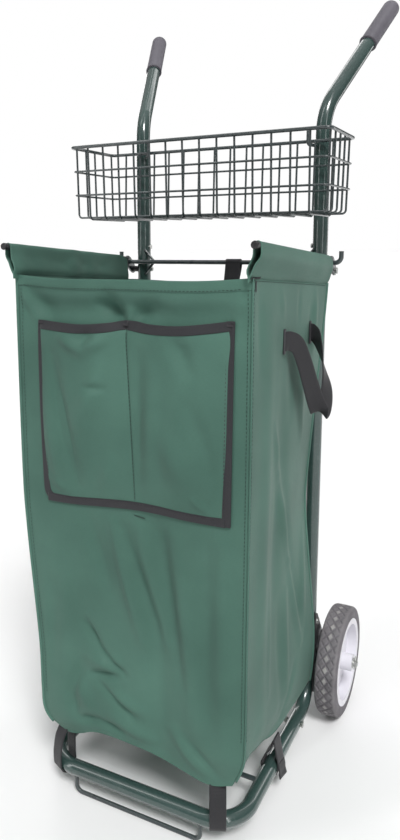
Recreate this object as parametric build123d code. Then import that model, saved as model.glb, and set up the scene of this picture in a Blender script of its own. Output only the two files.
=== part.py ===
from build123d import *
import os
from math import cos, radians, sin, sqrt

# Two-wheeled shopping cart with a cloth bag and a lift-off wire basket. Millimetres, +Z up.
# The front of the cart faces -Y and the user stands on the +Y side. Left and right are as
# seen from the front, so left is -X. While building, y = 0 is the plane of the uprights and
# z = 0 is the floor. The last step moves everything so that the origin is the middle of the
# footprint.

# Frame tubes
tube_dia = 22.0
tube_bore = 19.0
upright_x = 151.0
rail_z = 40.0
rail_joint_y = -85.0
rail_spigot_length = 30.0
rail_bolt_y = -67.0
lower_bend = 50.0
front_tube_y = -313.0
handle_bend_z = 982.0
handle_bend = 75.0
handle_length = 248.0
handle_pitch = 43.8
handle_splay = 0.232

# Fasteners
bolt_dia = 5.0
bolt_hole = 5.2
bolt_head_dia = 9.5
bolt_head = 3.0
bolt_tail = 6.0
head_gap = 0.1
nut_across = 8.0
nut_length = 4.0
nut_gap = 0.5
rivet_head = 1.6
screw_head_dia = 7.5

# Grips
grip_dia = 26.0
grip_length = 100.0
grip_end_wall = 8.0

# Round bars of the base
cross_rod_dia = 7.0
cross_rod_y = -215.0
foot_dia = 6.0
foot_half_width = 99.0
foot_bend = 10.0

# Wheels and axle
tyre_radius = 90.5
tyre_width = 35.0
wheel_inner_x = 168.5
rim_radius = 71.5
seat_radius = 66.0
barrel_inner_radius = 62.0
hub_dia = 28.0
hub_outer_x = 211.0
axle_dia = 10.0
axle_y = 60.0
axle_end_x = 219.0
bearing_clearance = 0.06
side_play = 0.3
hub_recess = 1.2
spacer_dia = 16.0
washer_dia = 17.0
washer_thickness = 1.5
rib_count = 10

# Axle brackets
plate = 3.0
bracket_top_z = 200.0
bracket_low_z = 62.0
rivet_heights = (84.0, 184.0)
rivet_dia = 5.0

# Crossbar and bag arms
crossbar_dia = 7.0
crossbar_z = 762.0
crossbar_hook_x = 187.0
crossbar_hook_rise = 17.0
arm_dia = 7.0
arm_x = 173.5
arm_front_y = -338.0
arm_front_z = 790.0
arm_back_z = 766.0
arm_bolt_z = 750.0
cap_dia = 9.0
cap_length = 8.0
strut_dia = 4.0
strut_reach = 24.0
strut_half_height = 20.0

# Basket
basket_half_top = 200.0
basket_half_bottom = 198.0
basket_front_y = -140.0
basket_back_y = -17.0
basket_taper_y = 4.0
rim_z = 937.0
floor_z = 829.5
hoop_heights = (901.5, 866.0)
rim_wire = 5.0
thin_wire = 3.0
weld = 0.3
cross_wire_count = 16
cross_wire_pitch = 26.4
long_wire_count = 5
long_wire_pitch = 25.3
wire_bend = 9.0
corner_bend = 8.0
hook_wire = 5.0
hook_x_left = 128.0
hook_x_right = 135.5
hook_rise = 21.0

# Bag
cloth = 2.0
bag_half_width = 166.0
bag_half_bottom = 139.0
bag_taper_z = 300.0
bag_front_y = -320.0
bag_back_y = -28.0
bag_bottom_z = 88.0
bag_front_top_z = 750.0
sleeve_drop = 36.0
sleeve_front_y = -330.0
sleeve_back_y = -25.0

# Front pockets
pocket_half_width = 140.0
pocket_divider_x = 2.0
pocket_top_z = 690.0
pocket_bottom_z = 452.0
pocket_gap = 6.0
binding_width = 12.0

# Webbing
webbing_width = 25.0
webbing = 1.6
webbing_gap = 0.4
back_loop_x = 18.0
front_strap_turn = 25.0
side_strap_y = -172.0
carry_slots_y = (-213.0, -97.0)
carry_hinge_z = 671.0
carry_tip_y = (-153.0, -91.0)
carry_drop = 100.0
carry_tilt = 14.0
carry_clearance = 3.2

axle_z = tyre_radius
inner_face = upright_x - tube_dia / 2
arm_rise = (arm_front_z - arm_back_z) / -arm_front_y
handle_direction = Vector(handle_splay, sin(radians(handle_pitch)), cos(radians(handle_pitch))).normalized()
parts = {}


def mirrored(name, right_part):
    """Store the right-hand part and its mirror image as two nodes."""
    parts[name + "_right"] = right_part
    parts[name + "_left"] = mirror(right_part, Plane.YZ)


def bar(points, diameter, bends=None, bore=0.0):
    """Round bar or tube along straight runs joined by arcs."""
    path = Line(*points) if len(points) == 2 else FilletPolyline(*points, radius=bends)
    section = Circle(diameter / 2)
    if bore:
        section -= Circle(bore / 2)
    start = Plane(origin=path @ 0, z_dir=path % 0)
    return sweep(start * section, path=path)


def x_cylinder(diameter, x_from, x_to, y, z, bore=0.0):
    """Cylinder or ring lying along X between two x values."""
    section = Circle(diameter / 2)
    if bore:
        section -= Circle(bore / 2)
    return extrude(Plane(origin=(x_from, y, z), x_dir=(0, 1, 0), z_dir=(1, 0, 0)) * section, x_to - x_from)


def box(x_range, y_range, z_range):
    """Box between two values on each axis."""
    size = [high - low for low, high in (x_range, y_range, z_range)]
    middle = [(high + low) / 2 for low, high in (x_range, y_range, z_range)]
    return Pos(*middle) * Box(*size)


def both_sides(right_part):
    """Group of a right-hand fastener and its mirror image."""
    return Compound(children=[right_part, mirror(right_part, Plane.YZ)])


def arm_z(y):
    """Height of the bag arm's centre line at a place along the cart."""
    return arm_back_z - arm_rise * y


def upright():
    """Tube that is the rail's rear end, the upright and the handle in one piece."""
    bend = Vector(upright_x, 0, handle_bend_z)
    points = [
        (upright_x, rail_joint_y, rail_z),
        (upright_x, 0, rail_z),
        bend,
        bend + handle_direction * handle_length,
    ]
    tube = bar(points, tube_dia, [lower_bend, handle_bend], tube_bore)
    inner, outer = upright_x - tube_dia, upright_x + tube_dia
    tube -= x_cylinder(bolt_hole, inner, outer, rail_bolt_y, rail_z)
    tube -= x_cylinder(bolt_hole, inner, outer, 0, arm_bolt_z)
    for height in rivet_heights:
        tube -= x_cylinder(rivet_dia, inner, outer, 0, height)
    return tube


def grip():
    """Domed plastic grip pushed over the end of the handle."""
    solid = extrude(Circle(grip_dia / 2), grip_length)
    solid = fillet(solid.edges().sort_by(Axis.Z)[-1], grip_dia * 0.4)
    solid -= extrude(Circle(tube_dia / 2), grip_length - grip_end_wall)
    from_bend = handle_length + grip_end_wall - grip_length
    start = Vector(upright_x, 0, handle_bend_z) + handle_direction * from_bend
    return Plane(origin=start, z_dir=handle_direction) * solid


def base_loop():
    """Left rail, front tube and right rail bent from one tube, with reduced spigot ends."""
    points = [
        (-upright_x, rail_joint_y, rail_z),
        (-upright_x, front_tube_y, rail_z),
        (upright_x, front_tube_y, rail_z),
        (upright_x, rail_joint_y, rail_z),
    ]
    loop = bar(points, tube_dia, lower_bend, tube_bore)
    spigot_dia, spigot_bore = tube_bore - 0.1, tube_bore - 3.0
    for side in (-1, 1):
        x = side * upright_x
        ends = [(x, rail_joint_y - 5, rail_z), (x, rail_joint_y + rail_spigot_length, rail_z)]
        spigot = bar(ends, spigot_dia, bore=spigot_bore)
        collar = bar([ends[0], (x, rail_joint_y, rail_z)], tube_dia - 1, bore=spigot_bore)
        hole = x_cylinder(bolt_hole, x - tube_dia, x + tube_dia, rail_bolt_y, rail_z)
        loop = loop + (spigot + collar - hole)
    return loop


def cross_rod():
    """Thin bar between the rails."""
    reach = upright_x - tube_dia / 2 + 0.8
    return bar([(-reach, cross_rod_y, rail_z), (reach, cross_rod_y, rail_z)], cross_rod_dia)


def front_foot():
    """Bent bar under the front tube that stands on the floor."""
    top = rail_z - tube_dia / 2 + 0.6
    low = foot_dia / 2
    points = [
        (-foot_half_width, front_tube_y, top),
        (-foot_half_width, front_tube_y, low),
        (foot_half_width, front_tube_y, low),
        (foot_half_width, front_tube_y, top),
    ]
    return bar(points, foot_dia, foot_bend)


def rail_bolt():
    """Bolt across the joint of rail and upright, head outside."""
    face = upright_x + tube_dia / 2 + head_gap
    shank = x_cylinder(bolt_dia, inner_face - bolt_tail, face + 1, rail_bolt_y, rail_z)
    return shank + x_cylinder(bolt_head_dia, face, face + bolt_head, rail_bolt_y, rail_z)


def hex_nut(y, z):
    """Hexagon nut lying along X against the inner face of an upright."""
    section = RegularPolygon(nut_across / 2, 6, major_radius=False) - Circle(bolt_dia / 2)
    x_from = inner_face - nut_gap - nut_length
    return extrude(Plane(origin=(x_from, y, z), x_dir=(0, 1, 0), z_dir=(1, 0, 0)) * section, nut_length)


def axle_bracket():
    """Plate on the outside of the upright that carries the axle behind it."""
    nose = 13.0
    outline = make_hull(
        (
            Pos(-6, bracket_top_z - 6) * Circle(6)
            + Pos(-6, bracket_low_z + 6) * Circle(6)
            + Pos(axle_y, axle_z) * Circle(nose)
        ).edges()
    )
    outline -= Pos(axle_y, axle_z) * Circle(axle_dia / 2 + 0.05)
    for height in rivet_heights:
        outline -= Pos(0, height) * Circle(rivet_dia / 2)
    face = upright_x + tube_dia / 2
    return extrude(Plane(origin=(face, 0, 0), x_dir=(0, 1, 0), z_dir=(1, 0, 0)) * outline, plate)


def bracket_rivets():
    """Low-headed rivets through brackets and uprights."""
    rivets = []
    for height in rivet_heights:
        outside = upright_x + tube_dia / 2 + plate
        rivet = x_cylinder(rivet_dia, inner_face - rivet_head, outside + rivet_head, 0, height)
        rivet += x_cylinder(2 * rivet_dia, outside, outside + rivet_head, 0, height)
        rivet += x_cylinder(1.6 * rivet_dia, inner_face - rivet_head, inner_face, 0, height)
        rivets += [rivet, mirror(rivet, Plane.YZ)]
    return Compound(children=rivets)


def axle():
    """Bar from wheel to wheel behind the uprights, cross-drilled for the split pins."""
    rod = x_cylinder(axle_dia, -axle_end_x, axle_end_x, axle_y, axle_z)
    rod = chamfer(rod.edges().filter_by(GeomType.CIRCLE), 1.0)
    for side in (-1, 1):
        rod -= Pos(side * pin_x(), axle_y, axle_z) * Cylinder(1.6, 2 * axle_dia)
    return rod


def pin_x():
    """Place of the split pin along the axle."""
    return hub_outer_x + side_play + washer_thickness + 2.2


def split_pin():
    """Split pin with its eye above the axle and its legs bent below."""
    x, top, low = pin_x(), axle_z + 7, axle_z - 7.5
    shank = Pos(x, axle_y, (top + low) / 2) * Cylinder(1.5, top - low)
    eye = Pos(x, axle_y, top + 2) * Rot(0, 90, 0) * Torus(2.6, 1.2)
    legs = bar([(x, axle_y - 6, low + 0.6), (x, axle_y + 6, low + 0.6)], 2.2)
    return shank + eye + legs


def wheel_ring(points):
    """Solid of revolution about the axle from (x, radius) points."""
    axis_plane = Plane(origin=(0, axle_y, axle_z), x_dir=(1, 0, 0), z_dir=(0, -1, 0))
    section = axis_plane * make_face(Polyline(*points, close=True))
    return revolve(section, Axis((0, axle_y, axle_z), (1, 0, 0)))


def wheel_hub():
    """Moulded wheel: barrel with two lips, dished disc with ribs behind it, and a long hub."""
    inner, outer = wheel_inner_x, wheel_inner_x + tyre_width
    lip = 2.6
    barrel = wheel_ring(
        [
            (inner + 0.6, barrel_inner_radius),
            (outer - 0.6, barrel_inner_radius),
            (outer - 0.3, rim_radius),
            (outer - lip, rim_radius),
            (outer - lip, seat_radius),
            (inner + lip, seat_radius),
            (inner + lip, rim_radius),
            (inner + 0.3, rim_radius),
        ]
    )
    middle = (inner + outer) / 2
    hub_radius = hub_dia / 2
    disc = wheel_ring(
        [
            (middle - 2, hub_radius - 1),
            (middle + 4, hub_radius - 1),
            (middle, barrel_inner_radius + 1),
            (middle - 4, barrel_inner_radius + 1),
        ]
    )
    hub = x_cylinder(hub_dia, inner + hub_recess + side_play, hub_outer_x, axle_y, axle_z)
    wheel = barrel + disc + hub
    for number in range(rib_count):
        rib = box((middle - 10, middle - 1), (-1.5, 1.5), (hub_radius - 2, barrel_inner_radius + 1))
        wheel += Pos(0, axle_y, axle_z) * Rot(360 / rib_count * number, 0, 0) * rib
    wheel -= x_cylinder(axle_dia + 2 * bearing_clearance, inner - 5, hub_outer_x + 5, axle_y, axle_z)
    return wheel


def tyre():
    """Solid rubber tyre seated between the lips."""
    inner, outer = wheel_inner_x, wheel_inner_x + tyre_width
    seat, lip, shoulder = seat_radius + 0.05, 2.65, 6.0
    return wheel_ring(
        [
            (inner + lip, seat),
            (outer - lip, seat),
            (outer - lip, rim_radius + 0.05),
            (outer, rim_radius + 0.6),
            (outer, tyre_radius - shoulder),
            (outer - 1.6, tyre_radius - 2.2),
            (outer - shoulder, tyre_radius - 0.2),
            (outer - 2 * shoulder, tyre_radius),
            (inner + 2 * shoulder, tyre_radius),
            (inner + shoulder, tyre_radius - 0.2),
            (inner + 1.6, tyre_radius - 2.2),
            (inner, tyre_radius - shoulder),
            (inner, rim_radius + 0.6),
            (inner + lip, rim_radius + 0.05),
        ]
    )


def crossbar_y():
    """The crossbar lies against the front of the uprights."""
    return -(tube_dia + crossbar_dia) / 2 - 0.05


def crossbar():
    """Bar across both uprights with its ends turned up as hooks."""
    y, top = crossbar_y(), crossbar_z + crossbar_hook_rise
    points = [
        (-crossbar_hook_x, y, top),
        (-crossbar_hook_x, y, crossbar_z),
        (crossbar_hook_x, y, crossbar_z),
        (crossbar_hook_x, y, top),
    ]
    return bar(points, crossbar_dia, 9.0)


def crossbar_strut():
    """V-shaped wire on the inside of an upright that the crossbar is welded to."""
    y = crossbar_y() + (crossbar_dia + strut_dia) / 2 - 0.2
    foot = upright_x - sqrt((tube_dia / 2) ** 2 - y**2) - 2 * weld
    tip = foot - strut_reach + 6
    points = [
        (foot, y, crossbar_z + strut_half_height),
        (tip, y, crossbar_z),
        (foot, y, crossbar_z - strut_half_height),
    ]
    return bar(points, strut_dia, 4.0)


def strut_screw():
    """Pan-head screw that clamps the upper end of the strut."""
    z = crossbar_z + strut_half_height + 5
    head = x_cylinder(screw_head_dia, inner_face - 2.6, inner_face, 0, z)
    return head + x_cylinder(strut_dia, inner_face - 0.5, inner_face + 1.4, 0, z)


def bag_arm():
    """Bar that carries one side of the bag, with a flattened lug at its rear end."""
    back_y = crossbar_y()
    rod = bar([(arm_x, arm_front_y, arm_front_z), (arm_x, back_y - 6, arm_z(back_y - 6))], arm_dia)
    lug = make_hull(
        (
            Pos(back_y - 4, arm_z(back_y - 4)) * Circle(5)
            + Pos(back_y, crossbar_z) * Circle(9)
            + Pos(0, arm_bolt_z) * Circle(7)
        ).edges()
    )
    lug -= Pos(back_y, crossbar_z) * Circle(crossbar_dia / 2 + 0.05)
    lug -= Pos(0, arm_bolt_z) * Circle(bolt_hole / 2)
    lug = extrude(Plane(origin=(arm_x - plate / 2, 0, 0), x_dir=(0, 1, 0), z_dir=(1, 0, 0)) * lug, plate)
    arm = rod + lug
    keep_out = x_cylinder(crossbar_dia + 0.1, arm_x - 10, arm_x + 10, back_y, crossbar_z)
    return arm - keep_out


def arm_cap():
    """Cap pressed on the front end of a bag arm."""
    direction = Vector(0, -1, arm_rise).normalized()
    start = Vector(arm_x, arm_front_y, arm_front_z) - direction * (cap_length - 2)
    cap = extrude(Circle(cap_dia / 2), cap_length)
    cap = fillet(cap.edges().sort_by(Axis.Z)[-1], 1.5)
    cap -= extrude(Circle(arm_dia / 2), cap_length - 2)
    return Plane(origin=start, z_dir=direction) * cap


def arm_bolt():
    """Bolt through the arm's lug, the spacer and the upright."""
    face = arm_x + plate / 2 + head_gap
    shank = x_cylinder(bolt_dia, inner_face - bolt_tail, face + 1, 0, arm_bolt_z)
    return shank + x_cylinder(bolt_head_dia, face, face + bolt_head, 0, arm_bolt_z)


def bag_half(z):
    """Half width of the bag at a height."""
    share = min(1.0, (z - bag_bottom_z) / (bag_taper_z - bag_bottom_z))
    return bag_half_bottom + (bag_half_width - bag_half_bottom) * share


def bag_outline(heights, inset=0.0):
    """Points of the bag's right-hand outline at some heights."""
    return [(bag_half(z) - inset, z) for z in heights]


def bag_end_panel(y, top_z):
    """Flat front or back panel of the bag."""
    right = bag_outline([top_z, bag_taper_z, bag_bottom_z])
    left = [(-x, z) for x, z in reversed(right)]
    face = make_face(Polyline(*right, *left, close=True))
    return extrude(Plane(origin=(0, y, 0), x_dir=(1, 0, 0), z_dir=(0, -1, 0)) * face, cloth)


def bag_side_panel():
    """Side panel between the end panels, cut to the slope of the arm at its top."""
    top = arm_front_z
    heights = [top, bag_taper_z, bag_bottom_z + cloth]
    outline = bag_outline(heights) + bag_outline(reversed(heights), cloth)
    face = make_face(Polyline(*outline, close=True))
    depth = bag_back_y - cloth - bag_front_y
    panel = extrude(Plane(origin=(0, bag_back_y - cloth, 0), x_dir=(1, 0, 0), z_dir=(0, -1, 0)) * face, depth)
    seam = [(y, arm_z(y) - sleeve_drop) for y in (bag_front_y - 10, bag_back_y + 10)]
    above = [*seam, (bag_back_y + 10, top + 20), (bag_front_y - 10, top + 20)]
    cut = Plane(origin=(0, 0, 0), x_dir=(0, 1, 0), z_dir=(1, 0, 0)) * make_face(Polyline(*above, close=True))
    return panel - extrude(cut, bag_half_width + 10)


def bag_bottom():
    """Bottom panel of the bag."""
    half = bag_half_bottom
    return box((-half, half), (bag_front_y, bag_back_y - cloth), (bag_bottom_z, bag_bottom_z + cloth))


def loop_section(bar_radius, seam, thickness):
    """Section of a band that goes round a bar at (0, 0) and meets itself at a seam point."""
    outer = make_hull((Circle(bar_radius + thickness) + Pos(*seam) * Circle(thickness)).edges())
    inner = make_hull((Circle(bar_radius) + Pos(seam[0] * 0.93, seam[1] * 0.93) * Circle(0.3)).edges())
    return outer - inner


def bag_sleeve():
    """Top edge of the side panel, folded over the arm and sewn down."""
    section = loop_section(arm_dia / 2 + 0.7, (bag_half_width - cloth / 2 - arm_x, 1.2 - sleeve_drop), 1.2)
    start = Plane(origin=(arm_x, sleeve_back_y, arm_z(sleeve_back_y)), x_dir=(1, 0, 0), z_dir=(0, -1, 0))
    length = (sleeve_back_y - sleeve_front_y) * sqrt(1 + arm_rise**2)
    return extrude(start * section, length, dir=Vector(0, -1, arm_rise).normalized())


def pocket(x_from, x_to):
    """One flat pocket, standing off the bag's front panel."""
    outside = bag_front_y - cloth - pocket_gap
    return box((x_from, x_to), (outside - cloth, outside), (pocket_bottom_z, pocket_top_z - 3))


def pocket_binding():
    """Binding tape: two sides, bottom, divider and a strip on each pocket's mouth."""
    front = bag_front_y - cloth - pocket_gap - cloth
    wall = (front, bag_front_y - cloth)
    half, tape = pocket_half_width, binding_width
    middle = (pocket_divider_x - tape / 4, pocket_divider_x + tape / 4)
    height = (pocket_bottom_z, pocket_top_z)
    strip = (front, front + cloth + 0.4)
    mouth = (pocket_top_z - 3, pocket_top_z + 1)
    pieces = [
        box((-half, -half + tape), wall, height),
        box((half - tape, half), wall, height),
        box(middle, wall, height),
        box((-half, half), wall, (pocket_bottom_z - tape, pocket_bottom_z)),
        box((-half + tape, middle[0]), strip, mouth),
        box((middle[1], half - tape), strip, mouth),
    ]
    return Compound(children=pieces)


def back_loop():
    """Webbing loop from the bag's back panel round the crossbar."""
    seam = (bag_back_y - cloth / 2 - crossbar_y(), bag_back_top_z() + webbing - crossbar_z)
    section = loop_section(crossbar_dia / 2 + webbing_gap, seam, webbing)
    start = Plane(origin=(back_loop_x, crossbar_y(), crossbar_z), x_dir=(0, 1, 0), z_dir=(1, 0, 0))
    return extrude(start * section, webbing_width / 2, both=True)


def bag_back_top_z():
    """Height of the back panel's top edge."""
    return arm_z(bag_back_y) - sleeve_drop


def front_strap():
    """Webbing round the corner of the front tube, up to the bag's front corner."""
    turn = radians(front_strap_turn)
    x = upright_x - lower_bend + lower_bend * sin(turn)
    y = front_tube_y + lower_bend - lower_bend * cos(turn)
    seam = (-2, bag_bottom_z - webbing - rail_z - 0.3)
    section = loop_section(tube_dia / 2 + webbing_gap + 1.8, seam, webbing)
    start = Plane(origin=(x, y, rail_z), x_dir=(-sin(turn), cos(turn), 0), z_dir=(cos(turn), sin(turn), 0))
    return extrude(start * section, webbing_width / 2, both=True)


def side_strap():
    """Webbing round a rail, up to the side of the bag's bottom."""
    seam = (bag_half_bottom - 8 - upright_x, bag_bottom_z - webbing - rail_z - 0.3)
    section = loop_section(tube_dia / 2 + webbing_gap, seam, webbing)
    start = Plane(origin=(upright_x, side_strap_y, rail_z), x_dir=(1, 0, 0), z_dir=(0, -1, 0))
    return extrude(start * section, webbing_width / 2, both=True)


def carry_handle():
    """Webbing handle that hangs from two slots in the bag's side panel."""
    front, rear = carry_slots_y
    points = [(front, 0), (carry_tip_y[0], -carry_drop), (carry_tip_y[1], -carry_drop), (rear, 0)]
    path = FilletPolyline(*points, radius=14.0)
    band = trace(path, webbing_width)
    hinge = Plane(origin=(carry_hinge_x(), 0, carry_hinge_z), x_dir=(0, 1, 0), z_dir=(1, 0, 0))
    strap = extrude(hinge * band, webbing * 0.75, both=True)
    beside = (carry_hinge_x() - 10, carry_hinge_x() + 10)
    above = (carry_hinge_z, carry_hinge_z + webbing_width)
    strap -= box(beside, (front - webbing_width, rear + webbing_width), above)
    strap = strap.rotate(Axis((carry_hinge_x(), 0, carry_hinge_z), (0, 1, 0)), -carry_tilt)
    return strap


def carry_hinge_x():
    """The handle turns about a line just outside the side panel."""
    return bag_half_width + carry_clearance


def wall_y(front, z):
    """Place of the front or back grid plane at a height, inside the rim wire."""
    inset = (rim_wire + thin_wire) / 2 - weld + basket_taper_y * (rim_z - z) / (rim_z - floor_z)
    return basket_front_y + inset if front else basket_back_y - inset


def wall_x(z):
    """Half width of the end grid planes at a height, inside the rim wire."""
    drop = (basket_half_top - basket_half_bottom) * (rim_z - z) / (rim_z - floor_z)
    return basket_half_top - (rim_wire + thin_wire) / 2 + weld - drop


def spread(count, pitch, middle=0.0):
    """Evenly spaced places about a middle."""
    return [middle + (number - (count - 1) / 2) * pitch for number in range(count)]


def cross_wires():
    """x of each wire that runs down the front, under the floor and up the back."""
    return spread(cross_wire_count - 2, cross_wire_pitch)


def long_wires():
    """y of each wire that runs down one end, under the floor and up the other."""
    return spread(long_wire_count, long_wire_pitch, (basket_front_y + basket_back_y) / 2)


def hoop_offset():
    """Hoops are welded to the outside of the upright wires."""
    return thin_wire - weld


def basket_rim():
    """Thick wire round the top of the basket."""
    half, front, back, bend = basket_half_top, basket_front_y, basket_back_y, corner_bend
    outline = Pos(0, (front + back) / 2) * RectangleRounded(2 * half, back - front, bend)
    path = (Pos(0, 0, rim_z) * outline).wires()[0]
    start = Plane(origin=path @ 0, z_dir=path % 0)
    return sweep(start * Circle(rim_wire / 2), path=path)


def basket_face(front):
    """Front or back grid: the straight uprights and the straight runs of the hoops."""
    low = floor_z + wire_bend
    wires = [
        bar([(x, wall_y(front, rim_z), rim_z), (x, wall_y(front, low), low)], thin_wire)
        for x in cross_wires()
    ]
    outward = -hoop_offset() if front else hoop_offset()
    grid = Part() + wires
    for height in hoop_heights:
        y = wall_y(front, height) + outward
        reach = wall_x(height) + hoop_offset() - corner_bend
        grid += bar([(-reach, y, height), (reach, y, height)], thin_wire)
    return grid


def basket_end():
    """Right-hand grid: uprights, and the hoops with their corners."""
    low = floor_z + wire_bend
    wires = [bar([(wall_x(rim_z), y, rim_z), (wall_x(low), y, low)], thin_wire) for y in long_wires()]
    grid = Part() + wires
    for height in hoop_heights:
        x = wall_x(height) + hoop_offset()
        front, back = wall_y(True, height) - hoop_offset(), wall_y(False, height) + hoop_offset()
        places = [(x - corner_bend, front), (x, front), (x, back), (x - corner_bend, back)]
        points = [(*place, height) for place in places]
        grid += bar(points, thin_wire, corner_bend * 0.98)
    return grid


def basket_floor():
    """Floor grid with the rounded lower ends of all the upright wires."""
    low = floor_z + wire_bend
    grid = Part()
    for x in cross_wires():
        ends = [(x, wall_y(True, low), low), (x, wall_y(True, floor_z), floor_z)]
        ends += [(x, wall_y(False, floor_z), floor_z), (x, wall_y(False, low), low)]
        grid += bar(ends, thin_wire, wire_bend * 0.9)
    level = floor_z + thin_wire - weld
    for y in long_wires():
        high_end, low_end = wall_x(low), wall_x(level)
        ends = [(-high_end, y, low), (-low_end, y, level), (low_end, y, level), (high_end, y, low)]
        grid += bar(ends, thin_wire, wire_bend * 0.6)
    return grid


def basket_hook(hook_x):
    """Wire hook on an upright that the basket's rear rim drops into."""
    z = rim_z - (rim_wire + hook_wire) / 2 - 0.1
    front = basket_back_y - (rim_wire + hook_wire) / 2 - 2.5
    points = [(upright_x - 8, -6, z), (hook_x, front, z), (hook_x, front, z + hook_rise)]
    return bar(points, hook_wire, 5.0)


mirrored("upright", upright())
mirrored("grip", grip())
parts["base_loop"] = base_loop()
parts["base_cross_rod"] = cross_rod()
parts["front_foot"] = front_foot()
parts["rail_bolts"] = both_sides(rail_bolt())
parts["rail_nuts"] = both_sides(hex_nut(rail_bolt_y, rail_z))
mirrored("axle_bracket", axle_bracket())
parts["bracket_rivets"] = bracket_rivets()
parts["axle"] = axle()
mirrored("wheel_hub", wheel_hub())
mirrored("tyre", tyre())
spacer_from = upright_x + tube_dia / 2 + plate
running_bore = axle_dia + 2 * bearing_clearance
spacer = x_cylinder(spacer_dia, spacer_from, wheel_inner_x + hub_recess, axle_y, axle_z, running_bore)
parts["wheel_spacers"] = both_sides(spacer)
washer_from = hub_outer_x + side_play
washer = x_cylinder(washer_dia, washer_from, washer_from + washer_thickness, axle_y, axle_z, running_bore)
parts["wheel_washers"] = both_sides(washer)
parts["split_pins"] = both_sides(split_pin())
parts["crossbar"] = crossbar()
mirrored("crossbar_strut", crossbar_strut())
parts["strut_screws"] = both_sides(strut_screw())
mirrored("bag_arm", bag_arm())
mirrored("arm_cap", arm_cap())
parts["arm_bolts"] = both_sides(arm_bolt())
parts["arm_nuts"] = both_sides(hex_nut(0, arm_bolt_z))
arm_spacer = x_cylinder(bolt_head_dia, upright_x + tube_dia / 2, arm_x - plate / 2, 0, arm_bolt_z, bolt_hole)
parts["arm_spacers"] = both_sides(arm_spacer)
parts["basket_hook_left"] = mirror(basket_hook(hook_x_left), about=Plane.YZ)
parts["basket_hook_right"] = basket_hook(hook_x_right)
parts["basket_rim"] = basket_rim()
parts["basket_front"] = basket_face(True)
parts["basket_back"] = basket_face(False)
mirrored("basket_end", basket_end())
parts["basket_floor"] = basket_floor()
parts["bag_front"] = bag_end_panel(bag_front_y, bag_front_top_z)
parts["bag_back"] = bag_end_panel(bag_back_y, bag_back_top_z())
mirrored("bag_side", bag_side_panel())
parts["bag_bottom"] = bag_bottom()
mirrored("bag_sleeve", bag_sleeve())
tape_half = binding_width / 4
parts["pocket_left"] = pocket(-pocket_half_width + binding_width, pocket_divider_x - tape_half)
parts["pocket_right"] = pocket(pocket_divider_x + tape_half, pocket_half_width - binding_width)
parts["pocket_binding"] = pocket_binding()
mirrored("carry_handle", carry_handle())
parts["back_loop"] = back_loop()
mirrored("front_strap", front_strap())
mirrored("side_strap", side_strap())

# The origin is the middle of the footprint, on the floor.
boxes = [part.bounding_box() for part in parts.values()]
middle_y = (min(b.min.Y for b in boxes) + max(b.max.Y for b in boxes)) / 2
floor = min(b.min.Z for b in boxes)
os.makedirs("parts", exist_ok=True)
for name, part in parts.items():
    export_step(Pos(0, -middle_y, -floor) * part, f"parts/{name}.step")
print("nodes", len(parts), "moved by", round(-middle_y, 3), round(-floor, 3))
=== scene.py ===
import math

import bpy
import numpy as np
from mathutils import Matrix, Vector
from mathutils.bvhtree import BVHTree


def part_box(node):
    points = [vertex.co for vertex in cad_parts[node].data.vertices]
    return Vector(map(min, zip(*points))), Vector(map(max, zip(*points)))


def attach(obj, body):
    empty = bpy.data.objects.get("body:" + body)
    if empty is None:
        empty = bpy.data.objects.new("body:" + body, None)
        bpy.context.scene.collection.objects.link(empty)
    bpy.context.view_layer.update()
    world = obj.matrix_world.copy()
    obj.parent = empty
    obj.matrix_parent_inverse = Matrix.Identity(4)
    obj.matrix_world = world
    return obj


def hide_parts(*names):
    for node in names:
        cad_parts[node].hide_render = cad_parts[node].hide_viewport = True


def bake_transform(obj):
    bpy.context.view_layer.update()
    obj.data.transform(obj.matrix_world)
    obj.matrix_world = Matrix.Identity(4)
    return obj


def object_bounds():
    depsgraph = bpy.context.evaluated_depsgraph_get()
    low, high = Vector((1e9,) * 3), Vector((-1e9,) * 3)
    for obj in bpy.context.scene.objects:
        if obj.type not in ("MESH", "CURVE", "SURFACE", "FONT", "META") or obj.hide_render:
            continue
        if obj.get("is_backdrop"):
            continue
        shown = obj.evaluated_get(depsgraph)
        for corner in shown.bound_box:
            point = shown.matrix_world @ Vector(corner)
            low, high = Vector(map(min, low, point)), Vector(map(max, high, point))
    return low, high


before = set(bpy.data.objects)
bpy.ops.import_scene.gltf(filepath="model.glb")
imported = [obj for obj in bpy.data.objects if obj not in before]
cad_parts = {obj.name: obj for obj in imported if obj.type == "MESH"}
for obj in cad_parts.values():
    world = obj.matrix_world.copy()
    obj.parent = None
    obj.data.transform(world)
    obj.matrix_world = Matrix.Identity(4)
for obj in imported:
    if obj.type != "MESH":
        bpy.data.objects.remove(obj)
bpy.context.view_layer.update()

# Shopping cart: the looks. Shapes are worked out in millimetres in the cart's own frame, where
# y = 0 is the plane of the uprights, and turned into metres when a mesh is made.
MM = 0.001
PLANE_Y = sum(corner.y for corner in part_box("arm_spacers")) / 2


def span(node):
    """Lowest and highest corner of a CAD node in millimetres, in the cart's own frame."""
    return [np.array((corner.x, corner.y - PLANE_Y, corner.z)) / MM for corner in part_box(node)]


def place(points):
    """Points in millimetres in the cart's own frame, as metres in the row frame."""
    metres = np.array(points, float) * MM
    metres[..., 1] += PLANE_Y
    return metres


# Sizes of the tube, rod, wire arms, webbing and cloth
TUBE = 22.0
ROD = 7.0
ARM_RADIUS = 3.5
GRIP_RADIUS = 13.0
CLOTH = 0.9
WEBBING = 1.6
WEBBING_WIDTH = 25.0
TAPE_WIDTH = 11.5

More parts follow.
